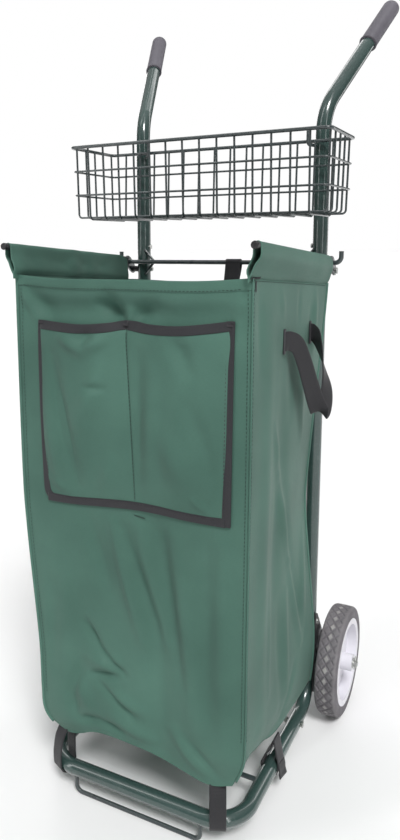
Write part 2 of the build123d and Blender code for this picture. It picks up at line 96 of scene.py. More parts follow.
# Driving places, from the frame
FRONT_Y = span("bag_front")[0][1]
BAG_HALF = span("bag_front")[1][0]
HEM_Z = span("bag_front")[1][2]
BACK_TOP_Z = span("bag_back")[1][2]
ARM_LOW, ARM_HIGH = span("bag_arm_right")
ARM_X = (span("arm_cap_right")[0][0] + span("arm_cap_right")[1][0]) / 2
ARM_FRONT_Z = ARM_HIGH[2] - ARM_RADIUS
ARM_RISE = 24.0 / 338.0  # height gained over the length of an arm
SLEEVE_FRONT_Y, SLEEVE_BACK_Y = span("bag_sleeve_right")[0][1], span("bag_sleeve_right")[1][1]
SLEEVE_DROP = 36.0  # from an arm down to the seam of its sleeve
RAIL_X = span("upright_right")[0][0] + TUBE / 2
RAIL_Z = (span("base_loop")[0][2] + span("base_loop")[1][2]) / 2
TUBE_Y = span("base_loop")[0][1] + TUBE / 2
CARRY_LOW, CARRY_HIGH = span("carry_handle_right")
CARRY_SLOTS = (CARRY_LOW[1] + WEBBING_WIDTH / 2, CARRY_HIGH[1] - WEBBING_WIDTH / 2)
SIDE_STRAP_Y = sum(corner[1] for corner in span("side_strap_right")) / 2
CROSSBAR_Y = (span("crossbar")[0][1] + span("crossbar")[1][1]) / 2
CROSSBAR_Z = span("crossbar")[0][2] + ROD / 2


def arm_z(y):
    """Height of the bag arm's middle line at a place along the cart."""
    return ARM_FRONT_Z - ARM_RISE * (y - ARM_LOW[1])


# ---------------------------------------------------------------- materials


class Graph:
    """Short names for the shader nodes that the materials share."""

    def __init__(self, name):
        self.material = bpy.data.materials.new(name)
        self.material.use_nodes = True
        self.tree = self.material.node_tree
        self.tree.nodes.clear()
        self.shader = self.add("ShaderNodeBsdfPrincipled")
        output = self.add("ShaderNodeOutputMaterial")
        self.link(self.shader.outputs["BSDF"], output.inputs["Surface"])
        self.coords = self.add("ShaderNodeTexCoord")

    def add(self, kind, **settings):
        node = self.tree.nodes.new(kind)
        for key, value in settings.items():
            setattr(node, key, value)
        return node

    def link(self, source, target):
        self.tree.links.new(source, target)

    def noise(self, scale, detail=3.0, coords="Object", stretch=None):
        """Noise from 0 to 1, optionally stretched along an axis."""
        node = self.add("ShaderNodeTexNoise")
        node.inputs["Scale"].default_value = scale
        node.inputs["Detail"].default_value = detail
        source = self.coords.outputs[coords]
        if stretch:
            mapping = self.add("ShaderNodeMapping")
            mapping.inputs["Scale"].default_value = stretch
            self.link(source, mapping.inputs["Vector"])
            source = mapping.outputs["Vector"]
        self.link(source, node.inputs["Vector"])
        return node.outputs["Fac"]

    def bands(self, period, direction):
        """Smooth bands across U or V with a period in metres."""
        node = self.add("ShaderNodeTexWave", wave_type="BANDS", bands_direction=direction)
        node.inputs["Scale"].default_value = math.pi / 10 / period
        self.link(self.coords.outputs["UV"], node.inputs["Vector"])
        return node.outputs["Fac"]

    def remap(self, source, low, high, from_low=0.3, from_high=0.7):
        node = self.add("ShaderNodeMapRange")
        node.inputs["From Min"].default_value = from_low
        node.inputs["From Max"].default_value = from_high
        node.inputs["To Min"].default_value = low
        node.inputs["To Max"].default_value = high
        self.link(source, node.inputs["Value"])
        return node.outputs["Result"]

    def math(self, operation, first, second):
        node = self.add("ShaderNodeMath", operation=operation)
        for socket, value in zip(node.inputs, (first, second)):
            if isinstance(value, (int, float)):
                socket.default_value = value
            else:
                self.link(value, socket)
        return node.outputs["Value"]

    def blend(self, amount, first, second):
        """Colour between two colours; either may be a socket."""
        node = self.add("ShaderNodeMix", data_type="RGBA")
        self.link(amount, node.inputs["Factor"])
        for socket, value in ((node.inputs[6], first), (node.inputs[7], second)):
            if isinstance(value, tuple):
                socket.default_value = (*value, 1.0)
            else:
                self.link(value, socket)
        return node.outputs[2]

    def attribute(self, name):
        return self.add("ShaderNodeAttribute", attribute_name=name).outputs["Fac"]

    def colour(self, socket):
        self.link(socket, self.shader.inputs["Base Color"])

    def roughness(self, socket):
        self.link(socket, self.shader.inputs["Roughness"])

    def bump(self, height, strength, distance):
        node = self.add("ShaderNodeBump")
        node.inputs["Strength"].default_value = strength
        node.inputs["Distance"].default_value = distance
        self.link(height, node.inputs["Height"])
        self.link(node.outputs["Normal"], self.shader.inputs["Normal"])

    def set(self, **values):
        for name, value in values.items():
            self.shader.inputs[name.replace("_", " ")].default_value = value


def tint(colour, factor):
    return tuple(channel * factor for channel in colour)


def powder_coat(name, colour, roughness, dust=0.25):
    """Sprayed and baked paint: slight orange peel, cloudy gloss, a little dust."""
    g = Graph(name)
    cloud = g.remap(g.noise(9.0, 4.0), 0.0, 1.0)
    fresh = g.blend(cloud, tint(colour, 0.85), tint(colour, 1.2))
    specks = g.remap(g.noise(260.0, 5.0), 0.0, dust, 0.55, 0.8)
    g.colour(g.blend(specks, fresh, tint((1.0, 1.0, 1.0), 0.22)))
    g.roughness(g.remap(g.noise(35.0, 5.0), roughness * 0.8, roughness * 1.35))
    g.bump(g.noise(420.0, 2.0), 0.15, 0.00004)
    g.set(Coat_Weight=0.8, Coat_Roughness=0.08, Specular_IOR_Level=0.5)
    return g.material


def zinc_plate(name):
    """Bright zinc plate with faint turning marks and dull patches."""
    g = Graph(name)
    g.set(Metallic=1.0)
    dull = g.remap(g.noise(140.0, 5.0), 0.0, 1.0)
    g.colour(g.blend(dull, (0.62, 0.63, 0.62), (0.42, 0.42, 0.40)))
    g.roughness(g.remap(g.noise(420.0, 3.0, stretch=(8.0, 1.0, 1.0)), 0.22, 0.42))
    g.bump(g.noise(1500.0, 2.0, stretch=(6.0, 1.0, 1.0)), 0.15, 0.00005)
    return g.material


def moulded(name, colour, roughness, grain=1100.0, depth=0.00008, coat=0.0, dirt=0.8):
    """Moulded plastic or vinyl with a fine grain and handling marks."""
    g = Graph(name)
    cloud = g.remap(g.noise(22.0, 6.0), 0.0, 1.0)
    g.colour(g.blend(cloud, tint(colour, dirt), tint(colour, 1.08)))
    g.roughness(g.remap(g.noise(70.0, 5.0), roughness * 0.85, min(1.0, roughness * 1.2)))
    g.bump(g.noise(grain, 3.0), 0.35, depth)
    g.set(Coat_Weight=coat, Coat_Roughness=0.2)
    return g.material


def tyre_rubber(name):
    """Grey rubber, dusty, paler with wear on the shoulders, and with a painted highlight on the raised tread.
    """
    g = Graph(name)
    highlight_and_wear = g.math("MULTIPLY", g.attribute("highlight_and_wear"), g.remap(g.noise(60.0, 5.0), 0.55, 1.0))
    base = g.blend(g.remap(g.noise(25.0, 6.0), 0.0, 1.0), (0.105, 0.098, 0.108), (0.165, 0.155, 0.168))
    g.colour(g.blend(highlight_and_wear, base, (0.36, 0.35, 0.34)))
    g.roughness(g.remap(g.noise(90.0, 4.0), 0.62, 0.85))
    g.bump(g.noise(900.0, 4.0), 0.4, 0.0002)
    return g.material


def woven(name, dark, light, thread=0.0009, depth=0.00018, sheen=0.06, roughness=0.6):
    """Plain weave: threads over and under, slubs, and cloudy dye mixed with painted shade: the broad cloud
    spans a wide dark-to-light range that stands in for the soft shading of folds.
    """
    g = Graph(name)
    weave = g.math("MULTIPLY", g.bands(thread, "X"), g.bands(thread, "Y"))
    slub = g.noise(240.0, 4.0, coords="UV", stretch=(1.0, 6.0, 1.0))
    # The cloud is partly dye and partly painted shade: its wide range between dark and light paints soft fold
    # shading as blotches.
    cloud = g.remap(g.noise(7.0, 5.0), 0.0, 1.0)
    shade = g.math("ADD", g.math("MULTIPLY", cloud, 0.55), g.math("MULTIPLY", slub, 0.45))
    g.colour(g.blend(g.math("ADD", shade, g.math("MULTIPLY", weave, 0.12)), dark, light))
    g.roughness(g.remap(slub, roughness - 0.08, roughness + 0.1))
    g.bump(g.math("ADD", weave, g.math("MULTIPLY", slub, 0.6)), 0.5, depth)
    g.set(Sheen_Weight=sheen, Sheen_Roughness=0.45, Specular_IOR_Level=0.22)
    return g.material


def ribbed(name, dark, light, rib=0.0016):
    """Narrow webbing or tape with ribs across its length."""
    g = Graph(name)
    ribs = g.bands(rib, "Y")
    fibre = g.noise(420.0, 4.0, coords="UV", stretch=(1.0, 4.0, 1.0))
    g.colour(g.blend(g.math("MULTIPLY", ribs, fibre), dark, light))
    g.roughness(g.remap(fibre, 0.6, 0.82))
    g.bump(g.math("ADD", ribs, fibre), 0.6, 0.0002)
    g.set(Sheen_Weight=0.12, Sheen_Roughness=0.5)
    return g.material


TUBE_PAINT = powder_coat("tube_green", (0.034, 0.064, 0.058), 0.2, 0.12)
WIRE = powder_coat("wire_green", (0.028, 0.040, 0.042), 0.3)
BRACKET = powder_coat("bracket_black", (0.012, 0.013, 0.014), 0.4)
ZINC = zinc_plate("zinc")
GRIP = moulded("grip_vinyl", (0.122, 0.115, 0.136), 0.55)
# Painted shade: a darker copy of the grip vinyl for the shadow at the open lower end of each grip.
GRIP_END_SHADE = moulded("grip_end_shade", (0.07, 0.065, 0.078), 0.6)
BLACK_PLASTIC = moulded("black_plastic", (0.018, 0.018, 0.02), 0.42)
WHEEL = moulded("wheel_white", (0.70, 0.69, 0.74), 0.34, grain=500.0, depth=0.00004, coat=0.25, dirt=0.93)
RUBBER = tyre_rubber("tyre_grey")
# Painted shade: the dark and light colours of the bag cloth lie far apart, so its cloud paints soft fold
# shading as well as dye.
BAG_CLOTH = woven("bag_oxford", (0.036, 0.088, 0.068), (0.084, 0.182, 0.142))
# Painted highlight: the welts and sleeve edges are the bag cloth painted lighter, for the light their raised
# ridges catch.
WELT_CLOTH_LIT = woven("bag_welt_lit", (0.046, 0.108, 0.084), (0.094, 0.198, 0.156))
TAPE = ribbed("binding_tape", (0.009, 0.009, 0.012), (0.026, 0.026, 0.031), rib=0.0011)
STRAP = ribbed("webbing_black", (0.008, 0.008, 0.010), (0.022, 0.021, 0.026))
THREAD = moulded("thread_dark", (0.018, 0.042, 0.034), 0.7, grain=3000.0)
BLACK_THREAD = moulded("thread_black", (0.03, 0.027, 0.032), 0.7, grain=3000.0)

# ---------------------------------------------------------------- mesh helpers


def smooth_line(points, steps, closed=False):
    """Catmull-Rom curve through a few chosen points, of any number of columns."""
    knots = np.array(points, float)
    count = len(knots)
    spans = count if closed else count - 1
    rows = []
    for number in range(spans):
        if closed:
            before, start, end, after = (knots[(number + k) % count] for k in (-1, 0, 1, 2))
        else:
            before, start = knots[max(number - 1, 0)], knots[number]
            end, after = knots[number + 1], knots[min(number + 2, count - 1)]
        for step in range(steps):
            t = step / steps
            rows.append(
                0.5
                * (
                    2 * start
                    + (end - before) * t
                    + (2 * before - 5 * start + 4 * end - after) * t**2
                    + (3 * start - before - 3 * end + after) * t**3
                )
            )
    if not closed:
        rows.append(knots[-1])
    return np.array(rows)


def profile(places, values, at):
    """Smooth curve of a value over a place, through chosen pairs in rising order of place."""
    line = smooth_line(np.column_stack([places, values]), 12)
    return np.interp(at, line[:, 0], line[:, 1])


def unit(vectors):
    vectors = np.asarray(vectors, float)
    return vectors / np.maximum(np.linalg.norm(vectors, axis=-1, keepdims=True), 1e-9)


def make_mesh(name, points, faces, uvs, material):
    """Mesh object from points in millimetres; uvs has one metre pair for each vertex."""
    mesh = bpy.data.meshes.new(name)
    mesh.from_pydata(place(points).tolist(), [], [list(map(int, face)) for face in faces])
    if uvs is not None:
        layer = mesh.uv_layers.new(name="UVMap")
        loops = np.zeros(len(mesh.loops), int)
        mesh.loops.foreach_get("vertex_index", loops)
        layer.data.foreach_set("uv", np.asarray(uvs, float)[loops].ravel())
    mesh.materials.append(material)
    mesh.polygons.foreach_set("use_smooth", [True] * len(mesh.polygons))
    mesh.update()
    made = bpy.data.objects.new(name, mesh)
    bpy.context.scene.collection.objects.link(made)
    return made


def grid_faces(rows, columns, close_rows=False, close_columns=False):
    """Quads of a grid stored row by row."""
    faces = []
    for row in range(rows if close_rows else rows - 1):
        for column in range(columns if close_columns else columns - 1):
            here, below = row * columns, (row + 1) % rows * columns
            right = (column + 1) % columns
            faces.append((here + column, below + column, below + right, here + right))
    return faces


def grid_uvs(grid):
    """Arc lengths along a grid's middle row and column, in metres."""
    rows, columns, _ = grid.shape
    along = np.linalg.norm(np.diff(grid[rows // 2], axis=0), axis=1)
    down = np.linalg.norm(np.diff(grid[:, columns // 2], axis=0), axis=1)
    u = np.concatenate([[0], np.cumsum(along)])
    v = np.concatenate([[0], np.cumsum(down)])
    uu, vv = np.meshgrid(u, v)
    return np.column_stack([uu.ravel(), vv.ravel()]) * MM


def apply_modifiers(made):
    """Bake a piece's modifiers into its mesh."""
    bpy.context.view_layer.update()
    evaluated = made.evaluated_get(bpy.context.evaluated_depsgraph_get())
    mesh = bpy.data.meshes.new_from_object(evaluated)
    made.modifiers.clear()
    made.data = mesh
    return made


def cloth_sheet(name, grid, material, thickness=CLOTH):
    """Piece of cloth from a grid of points: smoothed, then given its thickness."""
    rows, columns, _ = grid.shape
    made = make_mesh(name, grid.reshape(-1, 3), grid_faces(rows, columns), grid_uvs(grid), material)
    made.modifiers.new("smooth", "SUBSURF").levels = 1
    thick = made.modifiers.new("thick", "SOLIDIFY")
    thick.thickness = thickness * MM
    thick.offset = 0.0
    thick.use_even_offset = False
    return apply_modifiers(made)


def swept(name, line, across, section, material, closed=False):
    """Section of (width, thickness) points swept along a line, with a width direction at each point."""
    line, across = np.asarray(line, float), unit(across)
    if closed:
        tangent = np.roll(line, -1, 0) - np.roll(line, 1, 0)
    else:
        tangent = np.gradient(line, axis=0)
    tangent = unit(tangent)
    across = unit(across - (across * tangent).sum(1, keepdims=True) * tangent)
    outward = np.cross(tangent, across)
    section = np.asarray(section, float)
    points = line[:, None] + across[:, None] * section[None, :, :1] + outward[:, None] * section[None, :, 1:]
    rows, columns = len(line), len(section)
    faces = grid_faces(rows, columns, close_rows=closed, close_columns=True)
    if not closed:
        faces.append(tuple(range(columns)))
        faces.append(tuple(range((rows - 1) * columns, rows * columns))[::-1])
    travel = np.concatenate([[0], np.cumsum(np.linalg.norm(np.diff(line, axis=0), axis=1))])
    uvs = np.column_stack([np.tile(section[:, 0], rows), np.repeat(travel, columns)]) * MM
    return make_mesh(name, points.reshape(-1, 3), faces, uvs, material)


def strap_section(width, thickness, columns=8):
    """Flat webbing section with rounded edges and a slightly thicker selvage."""
    half, t = width / 2, thickness / 2
    places = np.linspace(-half + t, half - t, columns)
    swell = t * (1 + 0.12 * (np.abs(places) / half) ** 6)
    top = np.column_stack([places, swell])
    bottom = np.column_stack([places[::-1], -swell[::-1]])
    return np.vstack([top, [[half - t * 0.3, t * 0.6], [half, 0], [half - t * 0.3, -t * 0.6]], bottom,
                      [[-half + t * 0.3, -t * 0.6], [-half, 0], [-half + t * 0.3, t * 0.6]]])


def round_section(width, thickness, sides=10):
    turn = np.arange(sides) / sides * 2 * math.pi
    return np.column_stack([np.cos(turn) * width / 2, np.sin(turn) * thickness / 2])


def surface_of(made):
    """Ray-casting tree of a piece, in millimetres of the cart's own frame."""
    mesh = made.data
    points = np.zeros(len(mesh.vertices) * 3)
    mesh.vertices.foreach_get("co", points)
    points = points.reshape(-1, 3)
    points[:, 1] -= PLANE_Y
    return BVHTree.FromPolygons((points / MM).tolist(), [list(face.vertices) for face in mesh.polygons])


def drop(tree, start, direction):
    """Point where a ray first meets a surface, and the outward normal there."""
    hit, normal, _, _ = tree.ray_cast(Vector(start), Vector(direction))
    if hit is None:
        return None, None
    normal = np.array(normal)
    if np.dot(normal, direction) > 0:
        normal = -normal
    return np.array(hit), normal


def stitches(name, line, normals, material=THREAD, length=3.4, gap=1.6, width=0.9, lift=0.15,
             body="frame"):
    """Row of small raised stitches along a line that lies on cloth."""
    line, normals = np.asarray(line, float), unit(normals)
    travel = np.concatenate([[0], np.cumsum(np.linalg.norm(np.diff(line, axis=0), axis=1))])

    def at(distance, values):
        return np.array([np.interp(distance, travel, values[:, k]) for k in range(3)])

    points, faces = [], []
    pitch = length + gap
    for number in range(int((travel[-1] - gap) // pitch)):
        start = gap + number * pitch
        ends = (start, start + length * 0.2, start + length * 0.8, start + length)
        for end, swell in zip(ends, (0.3, 1.0, 1.0, 0.3)):
            middle = at(end, line)
            out = unit(at(end, normals))
            side = unit(np.cross(at(min(end + 0.5, travel[-1]), line) - at(end - 0.5, line), out))
            base = len(points)
            sink = middle + out * (lift * swell - (1 - swell) * 0.3)
            for turn in np.arange(6) / 6 * 2 * math.pi:
                points.append(sink + (side * math.cos(turn) + out * math.sin(turn) * 0.6) * width / 2 * swell)
            if end != ends[0]:
                pairs = [(k, (k + 1) % 6) for k in range(6)]
                faces += [(base - 6 + k, base - 6 + after, base + after, base + k) for k, after in pairs]
        first = len(points) - 24
        faces.append(tuple(range(first, first + 6))[::-1])
        faces.append(tuple(range(first + 18, first + 24)))
    made = make_mesh(name, points, faces, None, material)
    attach(made, body)


def finish_piece(made, slot, *replaced, body="frame"):
    """Attaches a piece to the body it rides on and hides the CAD nodes it stands for; the slot is not used.
    """
    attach(made, body)
    if replaced:
        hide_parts(*replaced)
    return made


def fold(points, start, end, depth, width):
    """Height of a soft crease along a segment, for points in a panel's own two coordinates."""
    start, end = np.array(start, float), np.array(end, float)
    run = end - start
    share = ((points - start) @ run) / (run @ run)
    near = start + np.clip(share, 0, 1)[..., None] * run
    distance = np.linalg.norm(points - near, axis=-1)
    fade = np.clip(1.15 - np.abs(share - 0.5) * 1.5, 0.15, 1.0)
    return depth * fade * np.exp(-((distance / width) ** 2))


# ---------------------------------------------------------------- bag

FRONT_COLUMNS, SIDE_COLUMNS, BAG_ROWS = 42, 36, 84

# Corner seams from the hem down: (x, y, z), right-hand pair then left-hand pair.
SEAM_FRONT_RIGHT = [
    (165, -321, 752), (165, -321, 560), (164, -321, 300), (163, -320, 165), (158, -319, 132),
    (145, -315, 103),
]
SEAM_BACK_RIGHT = [
    (170, -27, 734), (168, -27, 700), (164, -29, 640), (157, -35, 540), (151, -42, 440),
    (150, -43, 395), (154, -35, 320), (160, -24, 230), (163, -18, 160), (160, -20, 92), (150, -26, 76),
]
SEAM_FRONT_LEFT = [
    (-167, -321, 752), (-167, -321, 500), (-163, -321, 400), (-149, -321, 240), (-147, -321, 165),
    (-146, -320, 130), (-138, -317, 110), (-126, -312, 97),
]
SEAM_BACK_LEFT = [
    (-170, -27, 734), (-168, -27, 690), (-162, -30, 600), (-155, -36, 480), (-152, -38, 390),
    (-157, -30, 280), (-161, -22, 180), (-160, -21, 100), (-150, -26, 76),
]

# Soft creases, each as start, end, height (out of the panel is positive) and width. Front: (x, z).
FRONT_FOLDS = [
    ((37, 440), (44, 110), -4.5, 20), ((-120, 430), (-112, 120), 2.5, 30),
    ((100, 420), (106, 130), 3.0, 24), ((-170, 708), (170, 708), -5.0, 17),
    ((-90, 640), (-84, 470), 3.0, 40), ((84, 640), (78, 470), 3.0, 40),
    ((-166, 742), (-138, 694), 3.2, 7), ((-150, 735), (-112, 700), -3.0, 12),
    ((158, 738), (138, 702), 2.6, 8), ((-45, 722), (-6, 694), -4.5, 9),
    ((-30, 744), (-20, 705), -3.4, 10), ((36, 720), (4, 695), -3.6, 10), ((2, 716), (1, 694), 3.0, 8),
    ((85, 738), (60, 700), 2.2, 18), ((-26, 430), (18, 270), 3.4, 9), ((-8, 425), (36, 285), -3.2, 9),
    ((16, 430), (52, 272), 3.0, 9), ((44, 428), (80, 226), -3.4, 10), ((66, 425), (92, 175), 3.0, 12),
    ((-62, 432), (-30, 330), -2.2, 12), ((108, 428), (112, 200), -2.4, 13),
    ((132, 430), (134, 140), 2.8, 12), ((-72, 280), (-47, 240), -4.2, 6),
    ((-47, 240), (-12, 216), -4.4, 6), ((-60, 222), (-18, 232), 3.4, 9),
    ((-64, 203), (-22, 210), -4.6, 5), ((-52, 194), (2, 156), -3.6, 6), ((-40, 186), (18, 168), 3.0, 9),
    ((-76, 220), (-97, 166), -3.4, 8), ((-97, 166), (-92, 132), -3.2, 8),
    ((-84, 196), (-70, 150), 3.0, 10), ((-84, 128), (-54, 134), -4.0, 6),
    ((-54, 134), (-14, 126), -3.6, 6), ((-30, 148), (30, 130), 3.2, 9),
    ((-120, 330), (-128, 200), -2.4, 14), ((60, 160), (104, 112), 2.6, 9),
    ((84, 150), (124, 110), -2.6, 8),
]
# Side panel folds: (y, z), mirrored for the hidden side with less height.
SIDE_FOLDS = [
    ((-263, 700), (-258, 160), 4.5, 19), ((-206, 640), (-198, 190), -5.0, 22),
    ((-238, 562), (-208, 490), 4.0, 9), ((-208, 490), (-141, 345), 5.5, 10),
    ((-141, 345), (-80, 190), 5.5, 10), ((-186, 470), (-118, 325), -4.4, 12),
    ((-118, 325), (-60, 200), -4.0, 12), ((-226, 330), (-232, 190), 3.0, 9),
    ((-176, 300), (-168, 130), -3.6, 13), ((-150, 300), (-146, 140), 3.0, 9),
    ((-150, 744), (-154, 690), -1.8, 7), ((-225, 745), (-215, 700), 1.8, 8),
    ((-80, 742), (-74, 640), 2.8, 9), ((-96, 700), (-100, 620), -2.6, 9),
    ((-60, 360), (-66, 200), 3.2, 10), ((-110, 170), (-150, 100), -3.4, 9),
    ((-296, 740), (-290, 640), -2.4, 10), ((-180, 660), (-172, 560), -2.6, 14),
    ((-140, 640), (-118, 520), 3.0, 12),
]
BACK_FOLDS = [
    ((-110, 700), (-60, 250), 4.0, 16), ((-60, 690), (-20, 200), -4.0, 16),
    ((20, 720), (10, 380), 3.6, 12), ((60, 700), (84, 240), -4.0, 16),
    ((110, 690), (118, 220), 3.4, 14), ((-20, 260), (60, 140), 3.6, 12),
    ((-120, 220), (-60, 120), -3.4, 12), ((18, 728), (-30, 640), -2.6, 9),
    ((18, 728), (66, 640), -2.6, 9),
]


# Height of the walls' lower edges by the share of their width, going round to the right
FRONT_LOW_EDGE = [
    (0, 97), (0.07, 93), (0.16, 100), (0.3, 113), (0.52, 111), (0.68, 102), (0.87, 92), (1, 103),
]
RIGHT_LOW_EDGE = [
    (0, 106), (0.03, 132), (0.1, 136), (0.2, 122), (0.35, 103), (0.48, 89), (0.68, 80), (1, 72),
]
LEFT_LOW_EDGE = [(0, 76), (0.3, 82), (0.58, 92), (0.8, 116), (0.94, 112), (1, 98)]


def seam_at(seam, height):
    """x and y of a corner seam at some heights."""
    points = np.array(seam, float)[::-1]
    return (profile(points[:, 2], points[:, k], height) for k in (0, 1))


def panel(left, right, top, bottom, columns):
    """Grid of a bag panel between two corner seams; top and bottom give a height for each column."""
    share = np.linspace(0, 1, columns + 1)
    down = np.linspace(0, 1, BAG_ROWS + 1)[:, None]
    height = top(share)[None] * (1 - down) + bottom(share)[None] * down
    (left_x, left_y), (right_x, right_y) = seam_at(left, height), seam_at(right, height)
    x = left_x + (right_x - left_x) * share[None]
    y = left_y + (right_y - left_y) * share[None]
    return np.stack([x, y, height], -1)


def bag_panels():
    """The four walls of the bag, front, right, back and left, each a grid of points."""
    front_top = lambda s: HEM_Z + 2 - 5.5 * np.sin(math.pi * s) - 1.2 * np.sin(3 * math.pi * s)
    front_bottom = lambda s: profile(*zip(*FRONT_LOW_EDGE), s)
    side_y = lambda s: -321 + 294 * s
    side_top = lambda s: arm_z(side_y(s)) - SLEEVE_DROP
    right_bottom = lambda s: profile(*zip(*RIGHT_LOW_EDGE), s)
    loop_pull = lambda s: 4 * np.exp(-(((s - 0.44) / 0.1) ** 2))
    back_top = lambda s: BACK_TOP_Z + 1 - 5 * np.sin(math.pi * s) ** 2 + loop_pull(s)
    back_bottom = lambda s: 76 + 8 * np.sin(math.pi * s)
    left_bottom = lambda s: profile(*zip(*LEFT_LOW_EDGE), s)
    front = panel(SEAM_FRONT_LEFT, SEAM_FRONT_RIGHT, front_top, front_bottom, FRONT_COLUMNS)
    right = panel(SEAM_FRONT_RIGHT, SEAM_BACK_RIGHT, side_top, right_bottom, SIDE_COLUMNS)
    back = panel(SEAM_BACK_RIGHT, SEAM_BACK_LEFT, back_top, back_bottom, FRONT_COLUMNS)
    left = panel(SEAM_BACK_LEFT, SEAM_FRONT_LEFT, lambda s: side_top(1 - s), left_bottom, SIDE_COLUMNS)
    return front, right, back, left


def bag_floor(front, right, back, left):
    """Bottom panel between the lower edges of the walls (a Coons patch)."""
    south, east, north, west = front[-1], right[-1], back[-1][::-1], left[-1][::-1]
    u = np.linspace(0, 1, len(south))[None, :, None]
    v = np.linspace(0, 1, len(east))[:, None, None]
    ruled = south[None] * (1 - v) + north[None] * v + west[:, None] * (1 - u) + east[:, None] * u
    corners = (south[0] * (1 - u) * (1 - v) + south[-1] * u * (1 - v)
               + north[0] * (1 - u) * v + north[-1] * u * v)
    patch = ruled - corners
    patch[..., 2] -= 9 * (np.sin(math.pi * u) * np.sin(math.pi * v))[..., 0] ** 0.6
    return patch


def press_folds(panels):
    """Push the walls in and out along their normals by the chosen creases."""
    rng = np.random.default_rng(11)
    ripples = [(rng.uniform(14, 60), rng.uniform(0, 6.3), rng.uniform(0.25, 0.6)) for _ in range(12)]
    for grid, axis, sign, coords, folds, scale in (
        (panels[0], 1, -1, (0, 2), FRONT_FOLDS, 2.0),
        (panels[1], 0, 1, (1, 2), SIDE_FOLDS, 1.0),
        (panels[2], 1, 1, (0, 2), BACK_FOLDS, 1.0),
        (panels[3], 0, -1, (1, 2), SIDE_FOLDS, 0.8),
    ):
        spots = grid[..., coords]
        push = sum(fold(spots, *crease) for crease in folds) * scale
        for wave, shift, size in ripples:
            push = push + 0.4 * size * np.sin(spots[..., 0] / wave + shift + spots[..., 1] / (wave * 4.5))
        rows, columns = push.shape
        across = np.linspace(0, 1, columns)
        calm = np.clip(np.minimum(across, 1 - across) * 22, 0, 1)
        count = np.arange(rows)
        edge = np.clip(np.minimum(count / 8.0, (rows - 1 - count + 2) / 6.0), 0, 1)
        grid[..., axis] += sign * push * edge[:, None] * calm[None]


def joined(panels):
    """Points of the four walls and the floor with shared edges, and each panel's point numbers."""
    points, index = [], []

    def fresh(grid):
        start = len(points)
        points.extend(grid.reshape(-1, 3))
        return np.arange(start, start + grid.shape[0] * grid.shape[1]).reshape(grid.shape[:2])

    for number, grid in enumerate(panels[:4]):
        ids = np.zeros(grid.shape[:2], int)
        first, last = (1 if number else 0), (-1 if number == 3 else grid.shape[1])
        ids[:, first:last] = fresh(grid[:, first:last])
        if number:
            ids[:, 0] = index[-1][:, -1]
        if number == 3:
            ids[:, -1] = index[0][:, 0]
        index.append(ids)
    front, right, back, left = (ids[-1] for ids in index)
    ids = np.zeros(panels[4].shape[:2], int)
    ids[1:-1, 1:-1] = fresh(panels[4][1:-1, 1:-1])
    ids[0], ids[:, -1], ids[-1], ids[:, 0] = front, right, back[::-1], left[::-1]
    return np.array(points), index + [ids]


def shell_mesh(name, panels):
    """One mesh of the four walls and the floor."""
    points, index = joined(panels)
    faces, uvs = [], []
    for number, (grid, ids) in enumerate(zip(panels, index)):
        flat = grid_uvs(grid) + (number * 0.5, 0)
        columns = ids.shape[1]
        for face in grid_faces(*ids.shape):
            order = face[::-1] if number == 4 else face
            faces.append([int(ids[k // columns, k % columns]) for k in order])
            uvs += [flat[k] for k in order]
    made = make_mesh(name, points, faces, None, BAG_CLOTH)
    made.data.uv_layers.new(name="UVMap").data.foreach_set("uv", np.array(uvs).ravel())
    return made, index


def refined(grid):
    """A grid with twice as many spaces each way."""
    rows, columns, _ = grid.shape
    tall = smooth_line(grid.reshape(rows, -1), 2).reshape(-1, columns, 3)
    wide = smooth_line(tall.transpose(1, 0, 2).reshape(columns, -1), 2)
    return wide.reshape(2 * columns - 1, -1, 3).transpose(1, 0, 2).copy()


def bag_shell():
    """Front, sides, back and bottom of the bag as one cloth, hung, sagged and creased."""
    panels = list(bag_panels())
    panels.append(bag_floor(*panels))
    made, index = shell_mesh("bag_draft", panels)
    held = set()
    for ids in index[:4]:
        held.update(ids[0], ids[-1], ids[:, 0], ids[:, -1])
    moved = hang(made, [int(k) for k in held])
    panels = [grid + softened(moved[ids]) for grid, ids in zip(panels, index)]
    bpy.data.objects.remove(made, do_unlink=True)
    panels = [refined(grid) for grid in panels]
    press_folds(panels)
    made, _ = shell_mesh("bag_shell", panels)
    thick = made.modifiers.new("thick", "SOLIDIFY")
    thick.thickness = CLOTH * MM
    thick.offset = -1
    apply_modifiers(made)
    return made, panels[:4]


SAG_LIMIT = 0.010  # metres
HANG_FRAMES = 30


def hang(made, held):
    """Cloth simulation with a little slack, hung from the held edges: how far each point moves."""
    before = np.zeros(len(made.data.vertices) * 3)
    made.data.vertices.foreach_get("co", before)
    before = before.reshape(-1, 3)
    group = made.vertex_groups.new(name="held")
    group.add(held, 1.0, "REPLACE")
    settings = made.modifiers.new("cloth", "CLOTH").settings
    settings.quality = 6
    settings.mass = 0.25
    settings.tension_stiffness = settings.compression_stiffness = 20.0
    settings.shear_stiffness = 8.0
    settings.bending_stiffness = 1.0
    settings.tension_damping = settings.compression_damping = 10.0
    settings.air_damping = 2.0
    settings.vertex_group_mass = "held"
    settings.shrink_min = settings.shrink_max = -0.006
    scene = bpy.context.scene
    scene.frame_start, scene.frame_end = 1, HANG_FRAMES
    for number in range(1, HANG_FRAMES + 1):
        scene.frame_set(number)
    evaluated = made.evaluated_get(bpy.context.evaluated_depsgraph_get())
    after = np.zeros(before.size)
    evaluated.data.vertices.foreach_get("co", after)
    scene.frame_set(1)
    move = after.reshape(-1, 3) - before
    size = np.linalg.norm(move, axis=1, keepdims=True)
    return move * SAG_LIMIT * np.tanh(size / SAG_LIMIT) / np.maximum(size, 1e-9) / MM


